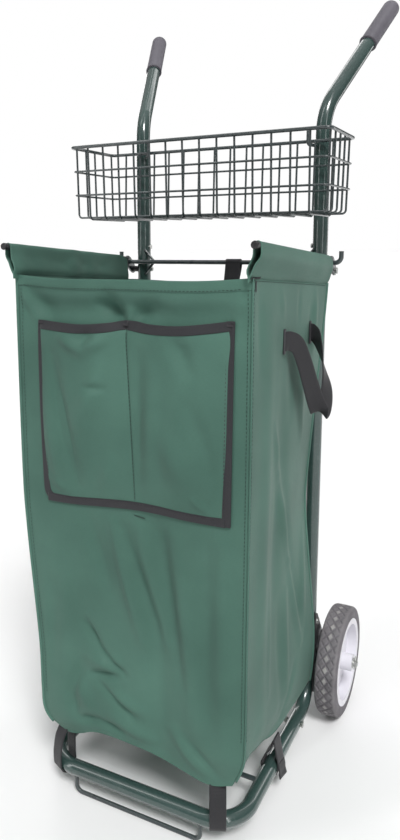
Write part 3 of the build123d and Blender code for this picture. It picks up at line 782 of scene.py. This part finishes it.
def softened(move):
    """Keeps the broad sag of a simulated panel and drops the ripples of single mesh cells."""
    for axis, rounds in ((0, 60), (1, 45)):
        for _ in range(rounds):
            padded = np.concatenate([move.take([0], axis), move, move.take([-1], axis)], axis)
            low, high = (padded.take(range(k, k + move.shape[axis]), axis) for k in (0, 2))
            move = 0.5 * move + 0.25 * (low + high)
            move[0] = move[-1] = 0
            move[:, 0] = move[:, -1] = 0
    return move


bag, bag_walls = bag_shell()
bag_seams = [grid[:, 0] for grid in bag_walls]
finish_piece(bag, "bag_cloth", "bag_front", "bag_back", "bag_side_left", "bag_side_right", "bag_bottom")
skin = surface_of(bag)


def on_front(x, z, lift=0.0):
    """Point on the bag's front, raised by a lift, and the normal there."""
    hit, normal = drop(skin, (x, FRONT_Y - 60, z), (0, 1, 0))
    return hit + normal * lift, normal


def on_side(side, y, z, lift=0.0):
    """Point on one of the bag's sides, raised by a lift, and the normal there."""
    hit, normal = drop(skin, (side * (BAG_HALF + 60), y, z), (-side, 0, 0))
    return hit + normal * lift, normal


def hem_tape(name, grid, inward, depth, slot, material, gap, thickness):
    """Folded strip over an edge: down the outside, over the top and down the inside."""
    grid, inward = np.asarray(grid, float), np.array(inward, float)
    over = CLOTH + gap

    def down(distance):
        """The cloth's outer face at some distance below its top edge."""
        columns = range(grid.shape[1])
        y = [np.interp(-(grid[0, k, 2] - distance), -grid[:, k, 2], grid[:, k, 1]) for k in columns]
        return np.column_stack([grid[0, :, 0], y, grid[0, :, 2] - distance])

    places = [(-gap, depth * k) for k in (1, 0.75, 0.5, 0.25, 0)] + [(over * 0.5 - gap / 2, -1.1)]
    places += [(over, depth * k) for k in (0, 0.25, 0.5, 0.75, 1)]
    rows = [down(max(fall, 0.0)) + inward * offset - (0, 0, min(fall, 0.0)) for offset, fall in places]
    made = cloth_sheet(name, np.array(rows), material, thickness)
    return finish_piece(made, slot)


front_hem, right_hem, _, left_hem = (grid[0] for grid in bag_walls)
HEM_DEPTH = 13
for label, wall, inward in (("front", bag_walls[0], (0, 1, 0)), ("back", bag_walls[2], (0, -1, 0))):
    hem_tape(f"bag_{label}_hem", wall[:8], inward, HEM_DEPTH, "bag_cloth", BAG_CLOTH, gap=0.2, thickness=0.6)


HEM_STITCH_DROP = 11.0
hem_height = lambda x: np.interp(x, front_hem[:, 0], front_hem[:, 2]) - HEM_STITCH_DROP
stitches("stitch_front_hem", *zip(*(on_front(x, hem_height(x), 1.4) for x in np.linspace(-158, 158, 90))))


def seam_welt(name, seam, inward_x, inward_y, low_z):
    """Corded ridge along a corner seam, down to a height."""
    line = seam[seam[:, 2] > low_z]
    outward = unit(np.array((-inward_x, -inward_y, 0)))
    made = swept(name, line + outward, np.tile(outward, (len(line), 1)), round_section(4.2, 2.2), WELT_CLOTH_LIT)
    finish_piece(made, "bag_cloth")


# Corner, way into the bag in x and y, and the welt's low end
WELTS = (
    ("front_left", 1, 1, 104), ("front_right", -1, 1, 112),
    ("back_right", -1, -1, 84), ("back_left", 1, -1, 84),
)
for seam, (label, *inward, low_z) in zip(bag_seams, WELTS):
    seam_welt(f"welt_{label}", seam, *inward, low_z)


def seam_stitches(name, seam, finder, low_z):
    """Stitches on a panel at a small distance beside a corner seam."""
    found = []
    for z in np.linspace(742, low_z, 150):
        x, y = (np.interp(-z, -seam[:, 2], seam[:, k]) for k in (0, 1))
        found.append(finder(x, y, z))
    stitches(name, *zip(*found))


seam_stitches("stitch_front_left", bag_seams[0], lambda x, y, z: on_front(x + 6, z, 0.2), 150)
seam_stitches("stitch_front_right", bag_seams[1], lambda x, y, z: on_front(x - 5, z, 0.2), 170)
seam_stitches("stitch_side_right", bag_seams[1], lambda x, y, z: on_side(1, y + 5, z, 0.2), 170)
seam_stitches("stitch_side_left", bag_seams[0], lambda x, y, z: on_side(-1, y + 5, z, 0.2), 150)

# ---------------------------------------------------------------- sleeves over the arms


def sleeve(side):
    """Top of a side panel, folded over the arm and sewn down, with soft gathers."""
    name = "right" if side > 0 else "left"
    count, loops = 64, 34
    rng = np.random.default_rng(5 if side > 0 else 6)
    waves = [(rng.uniform(7, 28), rng.uniform(0, 6.3), rng.uniform(0.35, 0.8)) for _ in range(8)]
    rows = []
    for number in range(count):
        y = SLEEVE_FRONT_Y + (SLEEVE_BACK_Y - 1 - SLEEVE_FRONT_Y) * number / (count - 1)
        droop = 7.0 * max(0.0, (y + 40) / 15.0) ** 2 if y > -40 else 0.0
        top = np.array((ARM_X, arm_z(y)))
        radius = ARM_RADIUS + 1.0
        seam_x = float(np.interp(y, right_hem[:, 1], right_hem[:, 0])) if side > 0 else -float(
            np.interp(y, left_hem[::-1, 1], left_hem[::-1, 0]))
        seam = np.array((seam_x, arm_z(y) - SLEEVE_DROP))
        belly = 1.6 + 1.0 * math.sin(y / 31.0 + side)
        outer = [
            seam + (-1.6, -5.0),
            seam + (-1.2, -0.5),
            seam + (0.9, 2.0),
            seam + (3.4 + belly, 11.0),
            top + (radius * 0.9 + belly * 0.6, -12.0),
            top + (radius, -1.0),
        ]
        arc = [top + (radius * math.cos(a), radius * math.sin(a)) for a in np.radians((40, 90, 140))]
        inner = [
            top + (-radius, -1.5),
            top + (-radius * 1.05 - belly * 0.3, -13.0),
            seam + (-2.4 - belly * 0.4, 9.0),
            seam + (-1.5, 0.5),
            seam + (-1.9, -5.5),
        ]
        ring = smooth_line(outer + arc + inner, 3)
        middle = ring.mean(0)
        for place_in_ring, point in enumerate(ring):
            share = place_in_ring / (len(ring) - 1)
            loose = math.sin(math.pi * share) ** 0.5 * (1 - math.exp(-((share - 0.5) / 0.16) ** 2))
            gather = sum(s * math.sin(y / w + f + share * 2.5) for w, f, s in waves)
            away = unit(point - middle)
            moved = point + away * gather * loose
            end_pull = 1.5 * math.exp(-(y - SLEEVE_FRONT_Y) / 10.0) * (1 - abs(2 * share - 1))
            rows.append((side * moved[0], y + end_pull, moved[1] - droop * (1 - abs(2 * share - 1))))
    grid = np.array(rows).reshape(count, -1, 3)
    made = cloth_sheet(f"bag_sleeve_cloth_{name}", grid, BAG_CLOTH)
    finish_piece(made, "bag_cloth", f"bag_sleeve_{name}")
    edge = grid[0] + (0, -0.4, 0)
    across = np.tile((0, 1, 0), (len(edge), 1))
    # The sleeve's front edge in the lighter welt cloth: a painted highlight along the edge.
    trim = swept(f"sleeve_edge_{name}", edge, across, round_section(2.6, 1.8, 8), WELT_CLOTH_LIT)
    finish_piece(trim, "bag_cloth")
    tree = surface_of(made)
    for label, start_x, direction in (("outer", 260, -1), ("inner", 0, 1)):
        line, normals = [], []
        for y in np.linspace(SLEEVE_FRONT_Y + 4, SLEEVE_BACK_Y - 6, 120):
            surface = skin if label == "outer" else tree
            height = arm_z(y) - SLEEVE_DROP + (-2.8 if label == "outer" else 1.0)
            hit, normal = drop(surface, (side * start_x, y, height), (side * direction, 0, 0))
            if hit is not None:
                line.append(hit + normal * 0.15)
                normals.append(normal)
        stitches(f"stitch_sleeve_{label}_{name}", line, normals)
    return tree


sleeve_trees = {side: sleeve(side) for side in (1, -1)}


def bar_tack(name, centre, along, normal, length, width, material=BLACK_THREAD):
    """Dense block of cross stitches that locks a seam's end."""
    centre, along, normal = np.array(centre, float), unit(along), unit(normal)
    side = np.cross(normal, along)
    share = np.linspace(0, 1, int(length / 0.9) * 8)[:, None]
    swing = np.sin(share * int(length / 0.9) * 2 * math.pi)
    points = centre + along * (share - 0.5) * length + side * swing * width / 2 + normal * 0.5
    made = swept(name, points, np.tile(normal, (len(points), 1)), round_section(0.8, 1.0, 6), material)
    finish_piece(made, "webbing")


for side, label in ((1, "right"), (-1, "left")):
    spot, normal = on_side(side, -312, 743, 0.4)
    bar_tack(f"tack_corner_{label}", spot, (0, 0, 1), normal, 12, 2.2)
    spot, normal = drop(sleeve_trees[side], (side * 260, -313, arm_z(-313) - SLEEVE_DROP + 1), (-side, 0, 0))
    bar_tack(f"tack_sleeve_{label}", spot + normal * 0.4, (0, 1, 0), normal, 28, 2.0)

# ---------------------------------------------------------------- pockets

POCKET_TOP, POCKET_LOW = 697.0, 459.0
MOUTH_LINE = [
    (-137, 693), (-100, 691.5), (-62, 690.5), (-25, 693.5), (-1, 697), (35, 694.5), (75, 694.5),
    (110, 698), (146, 703),
]
POCKET_BELLY = 11.0
left_edge = lambda z: -132 + 4 * (POCKET_TOP - z) / (POCKET_TOP - POCKET_LOW)
right_edge = lambda z: 141 - 2 * (POCKET_TOP - z) / (POCKET_TOP - POCKET_LOW)
divider = lambda z: -1 + 12 * (POCKET_TOP - z) / (POCKET_TOP - POCKET_LOW)
MOUTH_CURVE = smooth_line(MOUTH_LINE, 12)
LOW_LINE = [(-140, 455), (-122, 453.5), (-64, 455.5), (11, 461.5), (79, 460.5), (147, 460.5)]
LOW_CURVE = smooth_line(LOW_LINE, 12)
mouth_z = lambda x: float(np.interp(x, *MOUTH_CURVE.T))
low_z = lambda x: float(np.interp(x, *LOW_CURVE.T))
LEFT_POCKET_FOLDS = [
    ((-112, 650), (-76, 478), -3.6, 11), ((-132, 600), (-104, 470), 2.4, 9),
    ((-22, 680), (-62, 658), 2.6, 9), ((-62, 658), (-96, 676), 2.0, 8),
    ((-30, 640), (-66, 560), 2.8, 16), ((-56, 611), (-28, 612), -1.8, 5),
    ((-122, 482), (-84, 462), 2.4, 6), ((-20, 520), (-36, 470), 2.2, 10),
    ((-44, 690), (-60, 668), -2.6, 9),
]
RIGHT_POCKET_FOLDS = [
    ((18, 660), (16, 480), -2.6, 9), ((40, 640), (30, 480), 2.4, 12), ((94, 600), (120, 520), -2.0, 12),
    ((94, 482), (122, 464), 2.2, 6), ((70, 684), (92, 640), -2.0, 12), ((60, 560), (80, 500), 1.8, 16),
]


def pocket(name, x_low, x_high, folds):
    """One pocket: sewn down on three sides, standing off the front most at its mouth."""
    columns, rows = 52, 80
    grid = np.zeros((rows, columns, 3))
    for row in range(rows):
        down = row / (rows - 1)
        for column in range(columns):
            across = column / (columns - 1)
            z = POCKET_TOP + (POCKET_LOW - POCKET_TOP) * down
            x = x_low(z) + (x_high(z) - x_low(z)) * across
            z = mouth_z(x) + (low_z(x) - mouth_z(x)) * down
            side_lift = math.sin(math.pi * across) ** 0.75
            low_lift = 1 - np.exp(-(1 - down) * 8)
            lift = 1.2 + POCKET_BELLY * side_lift * low_lift * (1.0 - 0.4 * down)
            crease = 3.4 * sum(fold(np.array((x, z)), *each) for each in folds)
            lift += crease * side_lift * low_lift * min(1.0, 0.1 + down * 9)
            hit, _ = on_front(x, z)
            grid[row, column] = (hit[0], hit[1] - max(lift, 1.0), z)
    return cloth_sheet(name, grid, BAG_CLOTH), grid


def steady(rows, reach):
    """Moving average along a line, the ends kept."""
    rows = np.array(rows, float)
    count = len(rows)
    spans = [min(number, count - 1 - number, reach) for number in range(count)]
    return np.array([rows[number - span : number + span + 1].mean(0) for number, span in enumerate(spans)])


def tape_line(name, points, lift):
    """Binding tape laid on the cloth along a line, its edges rounded."""
    line = smooth_line(points, 14)
    placed, normals = zip(*(on_front(x, z, lift) for x, z in line))
    placed, normals = steady(placed, 7), unit(steady(normals, 21))
    tangent = unit(np.gradient(placed, axis=0))
    across = np.cross(normals, tangent)
    made = swept(name, placed, across, strap_section(TAPE_WIDTH, 2.2), TAPE)
    return finish_piece(made, "webbing")


pocket_left = pocket("pocket_cloth_left", left_edge, divider, LEFT_POCKET_FOLDS)
pocket_right = pocket("pocket_cloth_right", divider, right_edge, RIGHT_POCKET_FOLDS)
for (made, grid), label in ((pocket_left, "left"), (pocket_right, "right")):
    finish_piece(made, "bag_cloth", f"pocket_{label}")
    hem_tape(f"pocket_mouth_{label}", grid[:12], (0, 1, 0), 10.5, "webbing", TAPE, gap=0.8, thickness=0.8)

left_places = [(left_edge(z) + 2, z) for z in (693, 640, 580, 520, 474)] + [(-124.5, 459), (-117, 453)]
low_places = [(x, low_z(x) - 1) for x in (-124, -100, -64, -20, 11, 45, 79, 110, 136)]
right_places = [(right_edge(z) - 2, z) for z in (703, 640, 580, 520, 455)]
tape_line("binding_left", left_places, 1.6)
binding_bottom = tape_line("binding_bottom", low_places, 2.2)
tape_line("binding_right", right_places, 1.9)
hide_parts("pocket_binding")


def tape_stitches(name, places, lift, material=BLACK_THREAD):
    line, normals = zip(*(on_front(x, z, lift) for x, z in places))
    stitches(name, line, normals, material)


tape_stitches("stitch_binding_left", [(left_edge(z) + 5.8, z) for z in np.linspace(688, 468, 60)], 3.1)
tape_stitches("stitch_binding_right", [(right_edge(z) - 5.8, z) for z in np.linspace(694, 468, 60)], 3.4)
tape_stitches("stitch_binding_bottom", [(x, low_z(x) + 2.8) for x in np.linspace(-114, 130, 60)], 3.7)
tape_stitches("stitch_divider", [(divider(z), z) for z in np.linspace(684, 468, 60)], 2.2, THREAD)
for label, x, z in (("left", -130, 690), ("right", 139, 698), ("middle", -1, 691)):
    spot, normal = on_front(x, z, 4.2 if label != "middle" else 5.0)
    bar_tack(f"tack_pocket_{label}", spot, (1, 0, 0), normal, 7, 2.4)
spot, normal = on_front(16, 446, 0.4)
bar_tack("tack_below_pocket", spot, (1, 0, -0.1), normal, 16, 0.8, THREAD)

# ---------------------------------------------------------------- webbing


def ribbon(name, knots, body, steps, width=WEBBING_WIDTH, closed=False):
    """Webbing through (point, width direction) pairs."""
    rows = smooth_line([(*point, *direction) for point, direction in knots], steps, closed)
    made = swept(name, rows[:, :3], rows[:, 3:], strap_section(width, WEBBING), STRAP, closed)
    if body:
        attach(made, body)
    return made


def carry_handle(side):
    """Webbing handle that comes out of two slots, twists, and hangs to a folded tip."""
    label = "right" if side > 0 else "left"
    front, rear = CARRY_SLOTS
    knots = [
        ((163.5, front - 2, 668), (0, 0, 1)), ((167.5, front, 668), (0, 0, 1)),
        ((172.5, front + 8, 668), (0.1, 0.1, 1)), ((179, front + 20, 661), (0.3, 0.5, 0.8)),
        ((185, front + 31, 638), (0.45, 0.7, 0.5)), ((190, front + 44, 608), (0.55, 0.75, 0.3)),
        ((194, front + 56, 583), (0.62, 0.7, 0)), ((198, front + 66, 567), (0.62, 0.6, -0.45)),
        ((200, front + 79, 571), (0.6, 0.45, -0.6)), ((198, rear - 22, 592), (0.4, 0.45, -0.75)),
        ((191, rear - 14, 620), (0.1, 0.5, -0.85)), ((183, rear - 8, 645), (-0.05, 0.35, -0.93)),
        ((175, rear - 3, 662), (0, 0.1, -1)), ((168.0, rear, 667), (0, 0, -1)),
        ((163.5, rear - 1, 667), (0, 0, -1)),
    ]
    knots = [((side * p[0], *p[1:]), (side * d[0], *d[1:])) for p, d in knots]
    made = ribbon(f"carry_webbing_{label}", knots, None, steps=8)
    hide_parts(f"carry_handle_{label}")
    start = place(np.array((side * 170.0, (front + rear) / 2, 668)))
    end = place(np.array((side * 177.0, (front + rear) / 2, 640)))
    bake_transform(made)
    for place_name, y, z in (("front", front, 668), ("back", rear, 667)):
        spot, normal = on_side(side, y, z, 0.7)
        line = np.array([spot + (0, 0, reach) for reach in np.linspace(-16, 16, 9)])
        across = np.tile((0, 1, 0), (len(line), 1))
        patch = swept(f"slot_{place_name}_{label}", line, across, strap_section(8.5, 1.6, 4), TAPE)
        finish_piece(patch, "webbing")


for side in (1, -1):
    carry_handle(side)


def strap_loop(name, centre, radial, path, width=WEBBING_WIDTH):
    """Closed webbing band in the plane of a radial direction and Z, round a bar through centre."""
    centre, radial = np.array(centre, float), unit(np.array(radial, float))
    across = np.cross(radial, (0, 0, 1))
    knots = [(centre + radial * reach + np.array((0, 0, 1.0)) * rise, across) for reach, rise in path]
    return ribbon(name, knots, "frame", steps=7, closed=True, width=width)


def around_bar(radius, start, stop, count=7):
    """Points (reach, rise) round a bar from one angle to another, in degrees."""
    return [(radius * math.cos(a), radius * math.sin(a)) for a in np.radians(np.linspace(start, stop, count))]


BEND_RADIUS = 50.0
STRAP_TURN = math.radians(25)  # place of a front strap round the bend of the base tube
FRONT_STRAP_WIDTH = 22.0
UNDER_TUBE = around_bar(12.3, 0, -180)
FRONT_STRAP_PATH = [
    (-5, 66), (1.5, 54), (9.0, 38), (12.4, 16), *UNDER_TUBE, (-12.2, 12), (-12, 32), (-12.5, 56), (-9, 67),
]
SIDE_STRAP_PATH = [(6.0, 42), (9.4, 25), (12.7, 9), *UNDER_TUBE, (-12.4, 6), (-6.5, 19), (1.5, 31), (3.6, 42)]
TAIL_PLACES = ((12.5, 0, 8), (14.5, -1, 0), (15.5, -2, -6), (17.5, -3, -12))


def base_straps(side):
    """Front and side strap of one side, round the base tube, and the side strap's loose tail."""
    label = "right" if side > 0 else "left"
    outward = (side * math.sin(STRAP_TURN), -math.cos(STRAP_TURN), 0)
    centre = (
        side * (RAIL_X - BEND_RADIUS + BEND_RADIUS * math.sin(STRAP_TURN)),
        TUBE_Y + BEND_RADIUS - BEND_RADIUS * math.cos(STRAP_TURN),
        RAIL_Z,
    )
    made = strap_loop(f"strap_front_{label}", centre, outward, FRONT_STRAP_PATH, FRONT_STRAP_WIDTH)
    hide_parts(f"front_strap_{label}")
    centre = (side * (RAIL_X - 1), SIDE_STRAP_Y, RAIL_Z)
    made = strap_loop(f"strap_side_{label}", centre, (side, 0, 0), SIDE_STRAP_PATH)
    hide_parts(f"side_strap_{label}")
    tail = [
        ((side * (RAIL_X + out), SIDE_STRAP_Y + along, RAIL_Z + rise), (0, 1, 0.1))
        for out, along, rise in TAIL_PLACES
    ]
    ribbon(f"strap_tail_{label}", tail, "frame", steps=6)


for side in (1, -1):
    base_straps(side)

loop_centre = ((span("back_loop")[0][0] + span("back_loop")[1][0]) / 2, CROSSBAR_Y, CROSSBAR_Z)
path = [(-10.5, -31), (-6.5, -14)] + around_bar(4.6, 200, 0, 7) + [(3.4, -8), (-2.5, -20), (-8.6, -32)]
loop = strap_loop("loop_back", loop_centre, (0, 1, 0), path)
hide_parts("back_loop")

# ---------------------------------------------------------------- rings on the grips and arm caps


def ring(name, centre, axis, radius, width, thickness, material, slot):
    """Closed bead round an axis."""
    axis = unit(axis)
    first = unit(np.cross(axis, (0.3, 0.9, 0.1)))
    second = np.cross(axis, first)
    turn = np.arange(40) / 40 * 2 * math.pi
    line = [np.array(centre) + (first * math.cos(a) + second * math.sin(a)) * radius for a in turn]
    section = round_section(width, thickness, 8)
    made = swept(name, line, np.tile(axis, (len(line), 1)), section, material, closed=True)
    finish_piece(made, slot)


HANDLE_SPLAY, HANDLE_BEND = 0.232, math.radians(43.8)
HANDLE_AXIS = unit((HANDLE_SPLAY, math.sin(HANDLE_BEND), math.cos(HANDLE_BEND)))
for side, label in ((1, "right"), (-1, "left")):
    low, high = span(f"grip_{label}")
    axis = HANDLE_AXIS * (side, 1, 1)
    base = np.where(axis > 0, low, high) + np.where(axis > 0, 1, -1) * GRIP_RADIUS * np.sqrt(1 - axis**2)
    # Dark ring at the grip's lower end: painted shade for the shadow at its open end.
    ring(f"grip_lip_{label}", base + axis * 1.6, axis, GRIP_RADIUS, 3.0, 1.6, GRIP_END_SHADE, "grip_plastic")
    low, high = span(f"arm_cap_{label}")
    middle = (low + high) / 2
    front_face = np.array((middle[0], low[1], middle[2]))
    centre = front_face + (0, 0.5, 0)
    ring(f"cap_ring_{label}", centre, (0, 1, 0), 3.4, 1.6, 2.0, BLACK_PLASTIC, "black_plastic")

# ---------------------------------------------------------------- tyres

TREAD_PERIODS, STEPS_PER_PERIOD = 32, 14
LATTICE = 14.0
GROOVE = 1.3
BEAD_RADIUS = 71.4


def tyre(side):
    """Solid tyre: rounded shoulders and a lattice of diamonds, the middle row raised."""
    label = "right" if side > 0 else "left"
    low, high = span(f"tyre_{label}")
    middle = (low + high) / 2
    half, radius = (high[0] - low[0]) / 2, (high[2] - low[2]) / 2
    lip = half - 2.7
    wall = ((0.5, 0.3), (0.1, 2.5), (0.3, 6))
    outline = [(-lip, BEAD_RADIUS - 3.5), (-lip, BEAD_RADIUS)]
    outline += [(-half + a, BEAD_RADIUS + b) for a, b in wall]
    shoulder = [(-half + a, radius - b) for a, b in ((0.3, 7.5), (0.7, 4.2), (1.8, 2.0), (3.6, 0.9))]
    tread = [(x, radius - 0.55 * (abs(x) / half) ** 2) for x in np.linspace(-half + 5.6, half - 5.6, 33)]
    first = outline + shoulder
    section = np.array(first + tread + [(-x, r) for x, r in reversed(first)])
    turns = TREAD_PERIODS * STEPS_PER_PERIOD
    points, highlight_and_wear = [], []
    for number in range(turns):
        angle = number / turns * 2 * math.pi
        period = number / STEPS_PER_PERIOD
        for x, r in section:
            depth = painted_highlight = 0.0
            if abs(x) < half - 3.2 and r > radius - 3.5:
                first_line, second_line = period + x / LATTICE, period - x / LATTICE
                near = min(abs(line - round(line)) for line in (first_line, second_line))
                reach = near * LATTICE / math.sqrt(2)
                groove = max(0.0, 1 - (reach / GROOVE) ** 2)
                fade = min(1.0, (half - 3.2 - abs(x)) / 2.5)
                depth = -1.5 * groove * fade
                centre = max(0.0, 1 - (abs(x) / 4.4 + abs(period % 1 - 0.5) / 0.36))
                depth += 0.9 * min(1.0, centre * 2.2)
                # Painted highlight: the raised middle diamonds are painted much paler, the tread between the
                # grooves a little; shoulder_wear is real wear.
                painted_highlight = min(1.0, centre * 3.0) * 0.85 + 0.12 * (1 - groove) * fade
            shoulder_wear = 0.25 * math.exp(-((abs(x) - half + 2.5) / 1.6) ** 2) if r > radius - 7 else 0.0
            height = min(r + depth, radius)
            points.append((x, height * math.cos(angle), height * math.sin(angle)))
            highlight_and_wear.append(painted_highlight + shoulder_wear)
    points = np.array(points) * (side, 1, 1) + middle
    faces = grid_faces(turns, len(section), close_rows=True, close_columns=True)
    if side < 0:
        faces = [face[::-1] for face in faces]
    made = make_mesh(f"tyre_tread_{label}", points, faces, None, RUBBER)
    made.data.attributes.new("highlight_and_wear", "FLOAT", "POINT").data.foreach_set("value", highlight_and_wear)
    finish_piece(made, "tyre_rubber", f"tyre_{label}", body=f"wheel_{label}")


for side in (1, -1):
    tyre(side)

# ---------------------------------------------------------------- materials of the CAD parts


def both(*names):
    """Left and right node of each name."""
    return [f"{name}_{side}" for name in names for side in ("left", "right")]


NODE_MATERIALS = {
    TUBE_PAINT: ["base_loop", *both("upright")],
    WIRE: ["base_cross_rod", "front_foot", "crossbar", "basket_rim", "basket_front", "basket_back",
           "basket_floor", *both("crossbar_strut", "bag_arm", "basket_hook", "basket_end")],
    BRACKET: both("axle_bracket"),
    ZINC: ["rail_bolts", "rail_nuts", "bracket_rivets", "axle", "wheel_washers", "split_pins",
           "strut_screws", "arm_bolts", "arm_nuts"],
    GRIP: both("grip"),
    BLACK_PLASTIC: ["wheel_spacers", "arm_spacers", *both("arm_cap")],
    WHEEL: both("wheel_hub"),
}
for material, names in NODE_MATERIALS.items():
    for name in names:
        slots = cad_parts[name].data.materials
        slots.clear()
        slots.append(material)

# ---------------------------------------------------------------- floor, lights and camera

KEY_FROM = (37, 50)  # degrees round from the front towards the right, and above the floor
KEY_POWER = 2.2
KEY_SIZE = 16  # degrees across
CEILING, LOW_SKY, BACKDROP = 0.5, 0.10, 1.0  # brightness
FLOOR_REACH = 60.0
# Bearing and half width in degrees, and brightness, of each window
WINDOWS = ((52, 3.6, 5.0), (-38, 4.2, 4.5), (150, 5, 3.0), (-140, 5, 3.0))


def studio_floor():
    floor_mesh = bpy.data.meshes.new("studio_floor")
    corners = [(x * FLOOR_REACH, y * FLOOR_REACH, 0) for x, y in ((-1, -1), (1, -1), (1, 1), (-1, 1))]
    floor_mesh.from_pydata(corners, [], [(0, 1, 2, 3)])
    floor = bpy.data.objects.new("studio_floor", floor_mesh)
    bpy.context.scene.collection.objects.link(floor)
    g = Graph("floor_pale")
    g.colour(g.blend(g.noise(3.0, 2.0), (0.86, 0.86, 0.86), (0.90, 0.90, 0.90)))
    g.set(Roughness=0.9, Specular_IOR_Level=0.1)
    floor_mesh.materials.append(g.material)
    floor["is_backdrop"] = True


def studio():
    """Pale floor, one large soft key light and a bright ceiling with tall windows.

    The camera sees a plain backdrop where the ceiling and windows light the cart.
    """
    studio_floor()
    world = bpy.data.worlds.new("studio")
    world.use_nodes = True
    nodes, links = world.node_tree.nodes, world.node_tree.links
    coords, split = nodes.new("ShaderNodeTexCoord"), nodes.new("ShaderNodeSeparateXYZ")
    links.new(coords.outputs["Generated"], split.inputs["Vector"])

    def level(from_low, from_high, to_low, to_high):
        """Brightness that rises with height in the sky."""
        node = nodes.new("ShaderNodeMapRange")
        node.interpolation_type = "SMOOTHSTEP"
        for socket, value in zip(list(node.inputs)[1:5], (from_low, from_high, to_low, to_high)):
            socket.default_value = value
        links.new(split.outputs["Z"], node.inputs["Value"])
        return node.outputs["Result"]

    def window(bearing, half_width, brightness):
        """Tall narrow window at a bearing in degrees round from the front towards the right."""
        turn = math.radians(bearing)
        flat, level_way, across = (nodes.new("ShaderNodeVectorMath") for _ in range(3))
        flat.operation, level_way.operation, across.operation = "MULTIPLY", "NORMALIZE", "DOT_PRODUCT"
        flat.inputs[1].default_value = (1, 1, 0)
        across.inputs[1].default_value = (math.sin(turn), -math.cos(turn), 0)
        links.new(coords.outputs["Generated"], flat.inputs[0])
        links.new(flat.outputs[0], level_way.inputs[0])
        links.new(level_way.outputs[0], across.inputs[0])
        edge = nodes.new("ShaderNodeMapRange")
        outer, inner = (math.cos(math.radians(half_width * share)) for share in (1.0, 0.6))
        limits = (outer, inner, 0.0, brightness)
        for socket, value in zip(list(edge.inputs)[1:5], limits):
            socket.default_value = value
        links.new(across.outputs["Value"], edge.inputs["Value"])
        return edge.outputs["Result"]

    def total(first, second):
        node = nodes.new("ShaderNodeMath")
        for socket, source in zip(node.inputs, (first, second)):
            links.new(source, socket)
        return node.outputs["Value"]

    sky = level(0.15, 0.95, LOW_SKY, CEILING)
    for bearing, half_width, brightness in WINDOWS:
        sky = total(sky, window(bearing, half_width, brightness))
    light, backdrop = nodes["Background"], nodes.new("ShaderNodeBackground")
    for background in (light, backdrop):
        background.inputs["Color"].default_value = (1.0, 1.0, 1.0, 1.0)
    links.new(sky, light.inputs["Strength"])
    backdrop.inputs["Strength"].default_value = BACKDROP
    seen, mix = nodes.new("ShaderNodeLightPath"), nodes.new("ShaderNodeMixShader")
    links.new(seen.outputs["Is Camera Ray"], mix.inputs[0])
    links.new(light.outputs[0], mix.inputs[1])
    links.new(backdrop.outputs[0], mix.inputs[2])
    links.new(mix.outputs[0], nodes["World Output"].inputs["Surface"])
    bpy.context.scene.world = world
    data = bpy.data.lights.new("key", "SUN")
    data.energy, data.angle = KEY_POWER, math.radians(KEY_SIZE)
    key = bpy.data.objects.new("key", data)
    turn, rise = (math.radians(angle) for angle in KEY_FROM)
    towards = Vector((math.cos(rise) * math.sin(turn), -math.cos(rise) * math.cos(turn), math.sin(rise)))
    key.rotation_euler = towards.to_track_quat("Z", "Y").to_euler()
    bpy.context.scene.collection.objects.link(key)
    bpy.context.scene.view_settings.view_transform = "Standard"


CAMERA_PLACE = (458.3, -1102.6, 791.9)
CAMERA_TURNS = (28.364, -9.443, -0.449)  # yaw, pitch and roll in degrees
CAMERA_LENS, CAMERA_SENSOR = 31.445, 36.0
CAMERA_SHIFT = (0.0567, -0.0646)


def camera():
    """Three-quarter view from the right-hand front of the cart, from the height of its arms."""
    yaw, pitch, roll = (math.radians(angle) for angle in CAMERA_TURNS)
    forward = Vector((-math.sin(yaw) * math.cos(pitch), math.cos(yaw) * math.cos(pitch), math.sin(pitch)))
    level = Vector((math.cos(yaw), math.sin(yaw), 0))
    raised = level.cross(forward)
    right = level * math.cos(roll) + raised * math.sin(roll)
    up = raised * math.cos(roll) - level * math.sin(roll)
    data = bpy.data.cameras.new("camera")
    data.sensor_width, data.lens = CAMERA_SENSOR, CAMERA_LENS
    data.shift_x, data.shift_y = CAMERA_SHIFT
    made = bpy.data.objects.new("camera", data)
    turn = Matrix((right, up, -forward)).transposed().to_4x4()
    made.matrix_world = Matrix.Translation(place(CAMERA_PLACE)) @ turn
    bpy.context.scene.collection.objects.link(made)
    bpy.context.scene.camera = made


studio()
camera()

low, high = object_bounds()
